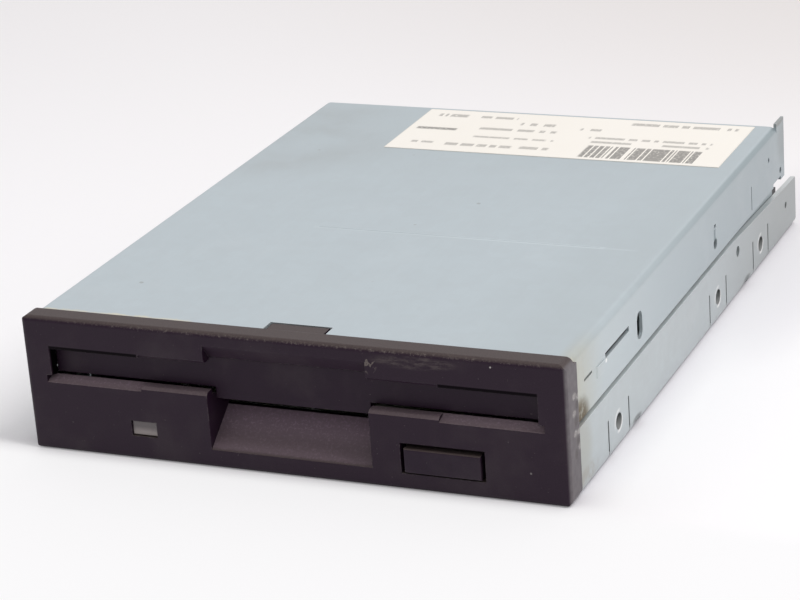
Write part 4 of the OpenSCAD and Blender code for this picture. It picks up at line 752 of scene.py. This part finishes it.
def worked_metal(name, tint, rough, mark_pitch=None, tarnish=(0.22, 0.18, 0.13)):
    """A metal with rings of the given pitch about the spindle, or with drawn streaks where none is given."""
    metal = Finish(name, Metallic=1.0)
    if mark_pitch:
        x, y = metal.ruler[:2]
        marks = 0.5 + 0.5 * distance(x - SPINDLE[0], y - SPINDLE[1]).wave(mark_pitch)
    else:
        marks = metal.cloud(0.3, 3.0, 0.6, metal.stretched(1.0, 0.08, 1.0))
    dull = metal.corners(1.0) * metal.step(metal.cloud(1.4, 4.0), 0.35, 0.65)
    tone = metal.mix(metal.cloud(3.0, 4.0), shade(tint, 0.86), shade(tint, 1.1))
    metal.paint(tone, (0.6 * dull, tarnish))
    metal.feed(Roughness=rough + 0.12 * metal.cloud(1.1) + 0.2 * dull)
    return metal.feed(Normal=metal.bump(marks, 0.12, 0.02, metal.rounded(0.12)))


pin_steel = worked_metal("bright steel", (0.66, 0.66, 0.65), 0.22)
spring_wire = worked_metal("spring wire", (0.50, 0.49, 0.47), 0.26)
bearing_bronze = worked_metal("sintered bronze", (0.46, 0.29, 0.13), 0.36, 0.4, (0.12, 0.07, 0.03))
chuck_alloy = worked_metal("turned alloy", (0.72, 0.72, 0.71), 0.24, 0.5)
stepper_can = worked_metal("nickel plate", (0.60, 0.585, 0.555), 0.25)
contact_gold = worked_metal("contact plating", (0.80, 0.58, 0.24), 0.20, None, (0.30, 0.19, 0.07))
print("metals:", pin_steel, stepper_can, contact_gold)

# %% [markdown]
# ## The motor's parts
# The stator is a stack of thin iron sheets, its teeth are wound with enamelled copper, and the ring magnet
# is dark ferrite. Lines across the height show the sheets, and fine lines round each tooth show the turns.

# %% Iron, copper and ferrite
SHEET_PITCH, TURN_PITCH = 0.5, 0.22
core_iron = Finish("iron sheets", Metallic=0.85)
sheets = 0.5 + 0.5 * core_iron.ruler[2].wave(SHEET_PITCH)
core_iron.paint(core_iron.mix(sheets, (0.16, 0.15, 0.145), (0.36, 0.35, 0.34)))
core_iron.feed(Roughness=0.38 + 0.2 * core_iron.cloud(0.8), Normal=core_iron.bump(sheets, 0.5, 0.05))

coil_copper = Finish("enamelled copper", Metallic=0.9, Coat_Weight=0.5)
coil_x, coil_y = coil_copper.ruler[:2]
turns = 0.5 + 0.5 * distance(coil_x - SPINDLE[0], coil_y - SPINDLE[1]).wave(TURN_PITCH)
coil_copper.paint(coil_copper.mix(turns, (0.30, 0.09, 0.03), (0.68, 0.27, 0.10)))
coil_copper.feed(Roughness=0.25 + 0.15 * coil_copper.cloud(0.7), Normal=coil_copper.bump(turns, 0.7, 0.08))

ferrite = Finish("ferrite", IOR=1.6)
ferrite.paint(ferrite.mix(ferrite.cloud(0.6, 4.0), (0.030, 0.030, 0.033), (0.06, 0.058, 0.058)))
ferrite.feed(Roughness=0.5 + 0.2 * ferrite.cloud(1.5), Normal=ferrite.bump(ferrite.cloud(0.3), 0.3, 0.04))
print("motor:", core_iron, coil_copper, ferrite)

# %% [markdown]
# ## Circuit boards
# A board is glass cloth under lacquer. Its tracks run in bundles, straight along or straight across, and
# change direction from one area to the next. So the board is divided in cells, chance picks each cell's
# direction, and fine stripes along it make the tracks. Small tinned dots are the joints between the layers.

# %% Circuit board
CELL_W, CELL_D, CELLS_A_ROW = 6.5, 5.5, 17.0
TRACK_PITCH, DOTS_PER_METRE = 0.9, 330.0


def circuit_board(name, lacquer, track_colour):
    board = Finish(name, Coat_Weight=0.6, Coat_Roughness=0.15)
    x, y = board.ruler[:2]
    cell = (x / CELL_W).floor() * CELLS_A_ROW + (y / CELL_D).floor()
    across = board.chance(cell) > 0.5
    lane = across * x + (1 - across) * y
    tracks = board.step(lane.wave(TRACK_PITCH), 0.25, 0.45) * (board.chance(cell + 0.37) > 0.3)
    dots = board.node("ShaderNodeTexVoronoi", {"feature": "F1"}, {
        "Vector": board.stretched(1.0, 1.0, 0.0), "Scale": DOTS_PER_METRE}, "Distance")
    tinned = 1 - board.step(dots, 0.10, 0.13)
    board.paint(
        board.mix(board.cloud(0.5), shade(lacquer, 0.85), shade(lacquer, 1.15)),
        (0.8 * tracks, track_colour),
        (0.5 * board.edges(0.5, 0.05, 0.3), (0.42, 0.40, 0.22)),
        (tinned, (0.62, 0.61, 0.58)))
    board.feed(Roughness=0.34 + 0.1 * board.cloud(1.5) - 0.1 * tinned, Metallic=0.9 * tinned)
    return board.feed(Normal=board.bump(0.6 * tracks + 0.4 * tinned + 0.1 * board.cloud(0.4), 0.35, 0.04))


motor_laminate = circuit_board("motor board", (0.060, 0.070, 0.020), (0.11, 0.13, 0.04))
logic_laminate = circuit_board("logic board", (0.015, 0.090, 0.040), (0.035, 0.17, 0.075))
print("boards:", motor_laminate, logic_laminate)

# %% [markdown]
# ## Moulded and ceramic parts inside
# The carriage is glass-filled plastic, the arm a paler grade, the connectors black or undyed nylon, the
# heads glazed ceramic, and the ribbon amber film over copper tracks.

# %% Inner mouldings


def inner_moulding(name, colour, rough, fibre, **plain):
    """A plastic with pale flecks of filler; fibre says how strong they show."""
    moulding = Finish(name, **plain)
    filler = moulding.step(moulding.cloud(0.35, 3.0, 0.6, moulding.stretched(1.0, 0.3, 1.0)), 0.55, 0.75)
    moulding.paint(
        moulding.mix(moulding.cloud(4.0, 4.0), shade(colour, 0.88), shade(colour, 1.12)),
        (fibre * filler, shade(colour, 2.2)),
        # painted shade: a darker copy of the colour in the corners
        (0.35 * moulding.corners(1.5), shade(colour, 0.4)),
        # painted highlight: a lighter copy of the colour along the edges
        (0.4 * moulding.edges(0.2), shade(colour, 1.7)))
    moulding.feed(Roughness=rough + 0.15 * moulding.cloud(2.5))
    return moulding.feed(Normal=moulding.bump(moulding.cloud(0.3), 0.2, 0.03, moulding.rounded(0.15)))


carriage_plastic = inner_moulding("carriage plastic", (0.055, 0.055, 0.06), 0.45, 0.35)
arm_plastic = inner_moulding("arm plastic", (0.14, 0.14, 0.145), 0.42, 0.25)
black_mould = inner_moulding("black nylon", (0.020, 0.020, 0.022), 0.38, 0.15)
white_mould = inner_moulding("undyed nylon", (0.62, 0.59, 0.51), 0.40, 0.05, Subsurface_Weight=0.1)
head_ceramic = inner_moulding("glazed ceramic", (0.34, 0.31, 0.27), 0.18, 0.1, Coat_Weight=0.6)
print("inner parts:", carriage_plastic, white_mould, head_ceramic)

# %% Amber film
LINE_PITCH = 0.55
flex_film = Finish("amber film", Coat_Weight=0.7, Coat_Roughness=0.1)
lines = flex_film.step(flex_film.ruler[0].wave(LINE_PITCH), -0.1, 0.25)
film_tone = flex_film.mix(flex_film.cloud(3.0), (0.36, 0.13, 0.02), (0.46, 0.18, 0.035))
flex_film.paint(film_tone, (0.75 * lines, (0.66, 0.34, 0.12)))
flex_film.feed(Roughness=0.3 + 0.1 * flex_film.cloud(1.0), Normal=flex_film.bump(lines, 0.4, 0.04))
print("film:", flex_film)

# %% [markdown]
# ## Dressing the model
# The record gives each solid a material slot, so one table from slot to finish dresses the whole drive. The
# solids keep their meshes, and only their materials change.

# %% Dress the nodes
finishes = dict(
    bezel_plastic=bezel, flap_plastic=flap, button_plastic=button,
    lamp_lens=lens, cover_steel=cover, label_paper=paper, chassis_steel=chassis,
    mechanism_steel=mechanism_steel, pin_steel=pin_steel, spring_wire=spring_wire,
    motor_laminate=motor_laminate, logic_laminate=logic_laminate, bearing_bronze=bearing_bronze,
    core_iron=core_iron, coil_copper=coil_copper, magnet_ferrite=ferrite,
    chuck_alloy=chuck_alloy, stepper_can=stepper_can, carriage_plastic=carriage_plastic,
    arm_plastic=arm_plastic, head_ceramic=head_ceramic, flex_film=flex_film,
    black_mould=black_mould, white_mould=white_mould, contact_gold=contact_gold,
)
for name, thing in nodes.items():
    finish = milky if name == "activity_led" else finishes[slot_of[name]]
    thing.data.materials.clear()
    thing.data.materials.append(finish.material)
print("dressed", len(nodes), "nodes")

# %% [markdown]
# ## Small parts
# What the drawing leaves out is made here: the legs of the chips, the small parts soldered round them, the
# pins' bent tails and the stepper's ribbon. Every one of them is a chain of rings with a skin over it. Two
# makers do most of the work: a moulded block with drafted sides and eased edges, and a strip that follows a
# bent path.

# %% Makers of small parts


def skin(shape, rings, tip=None):
    """Covers a chain of rings of points, closed by a lid at each end or by a fan to a tip at the last."""
    for first, second in zip(rings, rings[1:]):
        for i, point in enumerate(first):
            j = (i + 1) % len(first)
            shape.faces.new((point, first[j], second[j], second[i]))
    shape.faces.new(rings[0][::-1])
    last = rings[-1]
    if tip is None:
        shape.faces.new(last)
    else:
        for point, following in zip(last, last[1:] + last[:1]):
            shape.faces.new((point, following, tip))


def moulded_block(shape, x, back, z, ease, draft=0.0):
    """Adds a block between limits in millimetres, its top smaller by the draft and its edges eased."""
    rings = []
    for level, inset in zip(z, (0.0, draft)):
        xs, ys = (x[0] + inset, x[1] - inset), (back[0] + inset, back[1] - inset)
        outline = ((xs[0], ys[0]), (xs[1], ys[0]), (xs[1], ys[1]), (xs[0], ys[1]))
        rings.append([shape.verts.new(at(px, py, level)) for px, py in outline])
    skin(shape, rings)
    edges = dict.fromkeys(edge for ring in rings for corner in ring for edge in corner.link_edges)
    bmesh.ops.bevel(shape, geom=list(edges), offset=ease * MM, segments=2, profile=0.5, affect="EDGES")


def bent_strip(shape, path, half_width, half_thick):
    """Sweeps a flat strip along points in millimetres. The strip's width is level and square to the path."""
    points = [at(*point) for point in path]
    rings = []
    side = Vector((1.0, 0.0, 0.0))
    for i, point in enumerate(points):
        along = (points[min(i + 1, len(points) - 1)] - points[max(i - 1, 0)]).normalized()
        flat = Vector((along.x, along.y, 0.0))
        if flat.length > 1e-6:
            side = flat.normalized().cross(Vector((0.0, 0.0, 1.0)))
        face = along.cross(side)
        w, t = side * half_width * MM, face * half_thick * MM
        rings.append([shape.verts.new(point + dw + dt) for dw, dt in ((w, t), (w, -t), (-w, -t), (-w, t))])
    skin(shape, rings)


def angles(sweep, steps):
    """Angles from 0 to a sweep in equal steps."""
    return [sweep * k / steps for k in range(steps + 1)]


board_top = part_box("logic_board")[1].z / MM
print("boards' upper face at", round(board_top, 2), "mm")

# %% [markdown]
# A finished shape becomes a piece: it wears the finish of its slot and rides on a body of the drive. A
# piece that bends between two bodies rides on none.

# %% Keeping a piece


def keep_piece(shape, name, slot, body="frame"):
    """Turns a shape into a piece that wears its slot's finish and rides on a body, if one is named."""
    bmesh.ops.recalc_face_normals(shape, faces=shape.faces)
    piece = add_mesh(shape, name, finishes[slot])
    if body:
        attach(piece, body)
    return piece


print("pieces can wear", len(finishes), "finishes")

# %% [markdown]
# ### Chips and their legs
# A chip is a moulded body with drafted sides on gull-wing legs. The drawing has only its outline, so these
# pieces replace it. A leg is a bent strip: out of the body, down, and along the board.

# %% Chips
CHIP_W, CHIP_D = 9.0, 7.0
CHIP_FOOT, CHIP_PARTING, CHIP_TOP = 0.25, 1.2, 2.2
LEG_PITCH, LEGS_A_SIDE = 1.27, 7
LEG_BENDS = ((0.0, 1.2), (0.25, 1.2), (0.38, 1.1), (0.45, 0.3), (0.55, 0.12), (1.0, 0.1))
chip_places = [(34.0, 118.5), (-37.0, 119.0), (-31.0, 66.0), (31.0, 66.0)]
bodies, legs = bmesh.new(), bmesh.new()
for chip_x, chip_y in chip_places:
    for z_from, z_to, inset, draft in (
            (CHIP_FOOT, CHIP_PARTING, 0.15, -0.15), (CHIP_PARTING, CHIP_TOP, 0.0, 0.2)):
        half_w, half_d = CHIP_W / 2 - inset, CHIP_D / 2 - inset
        moulded_block(bodies, (chip_x - half_w, chip_x + half_w), (chip_y - half_d, chip_y + half_d),
                      (board_top + z_from, board_top + z_to), 0.08, draft)
    for number in range(LEGS_A_SIDE):
        leg_x = chip_x + (number - LEGS_A_SIDE // 2) * LEG_PITCH
        for side in (-1, 1):
            root = chip_y + side * (CHIP_D / 2 - 0.1)
            path = [(leg_x, root + side * reach, board_top + up) for reach, up in LEG_BENDS]
            bent_strip(legs, path, 0.2, 0.08)
chip_bodies = keep_piece(bodies, "chip_bodies", "black_mould")
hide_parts("board_chips")
keep_piece(legs, "chip_legs", "pin_steel")
print("chips:", len(chip_places), "with", 2 * LEGS_A_SIDE * len(chip_places), "legs")

# %% [markdown]
# ### Resistors and capacitors
# Rows of small parts stand on the boards, clear of the screws, the rotor and the moving carriage. Each has
# a body and two tinned ends. A seeded draw varies them, so every run gives the same board.

# %% Resistors and capacitors
part_draw = random.Random(35)
part_rows = [
    (24.5, 44.0, 128.4, 8), (-46.0, -36.0, 127.8, 4), (24.5, 29.0, 112.0, 2), (-46.5, -31.5, 114.0, 5),
    (-46.0, -34.0, 124.6, 5), (-28.0, -9.0, 137.8, 7), (-38.0, -22.0, 24.0, 7), (22.0, 38.0, 24.0, 7),
    (-42.0, -34.5, 58.0, 4), (34.5, 42.0, 58.0, 4), (-24.0, -14.0, 73.0, 5), (10.0, 22.0, 73.0, 5),
]
resistors, capacitors, ends = bmesh.new(), bmesh.new(), bmesh.new()
for x_from, x_to, row_y, count in part_rows:
    for number in range(count):
        middle = x_from + (x_to - x_from) * (number + 0.5) / count
        tall = part_draw.random() < 0.45
        half_l, half_w = (0.8, 0.42) if part_draw.random() < 0.6 else (1.0, 0.6)
        height = 0.75 if tall else 0.45
        moulded_block(capacitors if tall else resistors, (middle - half_w, middle + half_w),
                      (row_y - half_l + 0.25, row_y + half_l - 0.25),
                      (board_top + 0.04, board_top + height), 0.05)
        for side in (-1, 1):
            tip = row_y + side * half_l
            root = tip - side * 0.28
            moulded_block(ends, (middle - half_w - 0.02, middle + half_w + 0.02),
                          (min(tip, root), max(tip, root)), (board_top, board_top + height + 0.02), 0.06)
keep_piece(resistors, "resistors", "black_mould")
keep_piece(capacitors, "capacitors", "head_ceramic")
keep_piece(ends, "part_ends", "pin_steel")
print("small parts:", sum(row[3] for row in part_rows))

# %% [markdown]
# ### Tails of the connectors' pins
# Behind the connector's wall each pin turns down to the board and ends in a cone of solder. The upper row
# reaches further forward than the lower one, so the tails stand in two lines.

# %% Solder and bent tails
CONE_SIDES, CONE_R, CONE_H = 10, 0.75, 0.7
TAIL_HALF = 0.3


def solder_cone(shape, x, back):
    """A little mound of solder with a hollow flank, turned round the tail."""
    rings = []
    for r, z in ((CONE_R, 0.0), (0.62 * CONE_R, 0.3 * CONE_H), (0.45 * CONE_R, CONE_H)):
        rings.append([shape.verts.new(at(x + r * math.cos(a), back + r * math.sin(a), board_top + z))
                      for a in angles(math.tau, CONE_SIDES)[:-1]])
    skin(shape, rings, shape.verts.new(at(x, back, board_top + 1.1 * CONE_H)))


def pin_tail(tails, solder, x, back, z, reach):
    """A tail that reaches forward and turns down into its cone of solder."""
    bends = [(0.0, 0.0), (reach - 0.5, 0.0), (reach - 0.15, -0.15), (reach, -0.5),
             (reach, board_top + 0.3 - z)]
    bent_strip(tails, [(x, back - out, z + drop) for out, drop in bends], TAIL_HALF, TAIL_HALF)
    solder_cone(solder, x, back - reach)


print("cones of", CONE_SIDES, "sides")

# %% Pin tails
SIGNAL_COLUMNS, POWER_PINS = 17, 4
PIN_HALF, PIN_OVERLAP = 0.32, 0.2


def spread(low, high, count):
    """The middles of a row of pins between two limits."""
    first, last = low + PIN_HALF, high - PIN_HALF
    return [first + (last - first) * number / (count - 1) for number in range(count)]


tails, solder = bmesh.new(), bmesh.new()
pins_low, pins_high = in_mm(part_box("signal_pins"))
for pin_x in spread(pins_low[0], pins_high[0], SIGNAL_COLUMNS):
    for z, reach in ((pins_low[2] + PIN_HALF, 1.0), (pins_high[2] - PIN_HALF, 2.4)):
        pin_tail(tails, solder, pin_x, pins_low[1] + PIN_OVERLAP, z, reach)
power_low, power_high = in_mm(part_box("power_pins"))
for pin_x in spread(power_low[0], power_high[0], POWER_PINS):
    pin_tail(tails, solder, pin_x, power_low[1] + PIN_OVERLAP, power_low[2] + PIN_HALF, 1.2)
keep_piece(tails, "pin_tails", "contact_gold")
keep_piece(solder, "solder_cones", "pin_steel")
print("pin tails:", 2 * SIGNAL_COLUMNS + POWER_PINS)

# %% [markdown]
# ### The stepper's ribbon
# Four windings end in a small terminal block on the side of the stepper's can. A short strip of film takes
# them down to the logic board.

# %% Stepper ribbon
BEND_STEPS = 12
TERMINAL_Z = (8.2, 12.4)
can_low, can_high = in_mm(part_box("stepper_motor"))
can_side, ribbon_y = can_low[0], can_high[1] - 5.0
terminal = bmesh.new()
moulded_block(terminal, (can_side - 1.3, can_side + 0.9), (ribbon_y - 2.6, ribbon_y + 2.6),
              TERMINAL_Z, 0.25, 0.2)
keep_piece(terminal, "stepper_terminal", "black_mould")
ribbon = bmesh.new()
bow = [(can_side - 1.1 - 2.2 * math.sin(a), ribbon_y, TERMINAL_Z[0] + 1.2 * math.cos(a))
       for a in angles(math.pi / 2, BEND_STEPS)]
foot_x = bow[-1][0]
bow += [(foot_x - 0.1 * k * k, ribbon_y, TERMINAL_Z[0] - 1.1 * k) for k in range(1, 4)]
bow += [(foot_x - out, ribbon_y, board_top + up) for out, up in ((1.4, 0.5), (2.0, 0.12), (3.2, 0.1))]
bent_strip(ribbon, bow, 2.0, 0.07)
keep_piece(ribbon, "stepper_ribbon", "flex_film")
print("stepper ribbon from x", round(bow[0][0], 1), "to", round(bow[-1][0], 1))

# %% [markdown]
# ### The skirts' tails
# The lower edge of the cover's skirt is tucked inside the wall. The drawing stops the tuck short of the
# rear, where the wall falls away, so a thin strip on either side carries it on to the notch.

# %% Skirt tails
TUCK_X, TUCK_Y, TUCK_Z = (49.15, 49.65), (117.6, 128.3), (9.4, 13.3)
strips = bmesh.new()
moulded_block(strips, TUCK_X, TUCK_Y, TUCK_Z, 0.05)
moulded_block(strips, (-TUCK_X[1], -TUCK_X[0]), TUCK_Y, TUCK_Z, 0.05)
keep_piece(strips, "skirt_tails", "cover_steel")
print("skirt tails up to", TUCK_Y[1], "mm back")

# %% [markdown]
# ### The eject springs
# Two long coils run from the disk holder to the slider, which travels 4 mm. A solid coil can't shorten, so
# these coils replace it. They ride on no body.

# %% Eject springs
COIL_TURNS, COIL_STEPS = 14, 12
WIRE_R, WIRE_SIDES = 0.15, 6


def wound_coil(shape, x, back, z, radius):
    """Winds a wire about a line between two distances back, in millimetres."""
    count = COIL_TURNS * COIL_STEPS
    section = [(radius + WIRE_R * math.cos(b), WIRE_R * math.sin(b))
               for b in angles(math.tau, WIRE_SIDES)[:-1]]
    rings = []
    for i, a in enumerate(angles(math.tau * COIL_TURNS, count)):
        along = back[0] + (back[1] - back[0]) * i / count
        rings.append([shape.verts.new(at(x + r * math.cos(a), along + out, z + r * math.sin(a)))
                      for r, out in section])
    skin(shape, rings)


spring_low, spring_high = in_mm(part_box("eject_springs"))
spring_z = (spring_low[2] + spring_high[2]) / 2
spring_r = (spring_high[2] - spring_low[2]) / 2 - WIRE_R
spring_x = spring_high[0] - spring_r - WIRE_R
spring_ends = [spring_low[1] + WIRE_R, spring_high[1] - WIRE_R]
coils = bmesh.new()
for x in (-spring_x, spring_x):
    wound_coil(coils, x, spring_ends, spring_z, spring_r)
eject_coils = keep_piece(coils, "eject_coils", "spring_wire", None)
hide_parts("eject_springs")
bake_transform(eject_coils)
print("eject springs of", COIL_TURNS, "turns, radius", round(spring_r, 2), "mm")

# %% [markdown]
# ### The heads' ribbon
# A loop of film joins the heads to the logic board and has to follow them along the disk. A stiff solid
# would leave its socket or the carriage, so this piece replaces it. It rides on no body.

# %% Head ribbon
FILM_HALF, BEND_R = 0.075, 4.0
(film_left, film_front, film_foot), (film_right, film_rear, film_top) = in_mm(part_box("head_flex"))
loop_x, loop_half = (film_left + film_right) / 2, (film_right - film_left) / 2
loop_rear, loop_top = film_rear - FILM_HALF, film_top - FILM_HALF
bend_y, bend_z = loop_rear - BEND_R, loop_top - BEND_R
loop = [(loop_x, film_front + (bend_y - film_front) * k / 6, loop_top) for k in range(6)]
loop += [(loop_x, bend_y + BEND_R * math.sin(a), bend_z + BEND_R * math.cos(a))
         for a in angles(math.pi / 2, BEND_STEPS)]
loop += [(loop_x, loop_rear, bend_z + (film_foot - bend_z) * k / 3) for k in range(1, 4)]
film_loop = bmesh.new()
bent_strip(film_loop, loop, loop_half, FILM_HALF)
head_ribbon = keep_piece(film_loop, "head_ribbon", "flex_film", None)
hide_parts("head_flex")
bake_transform(head_ribbon)
print("head ribbon of", len(loop), "points")

# %% [markdown]
# ## Size
# The CAD box is printed where the frame is loaded.
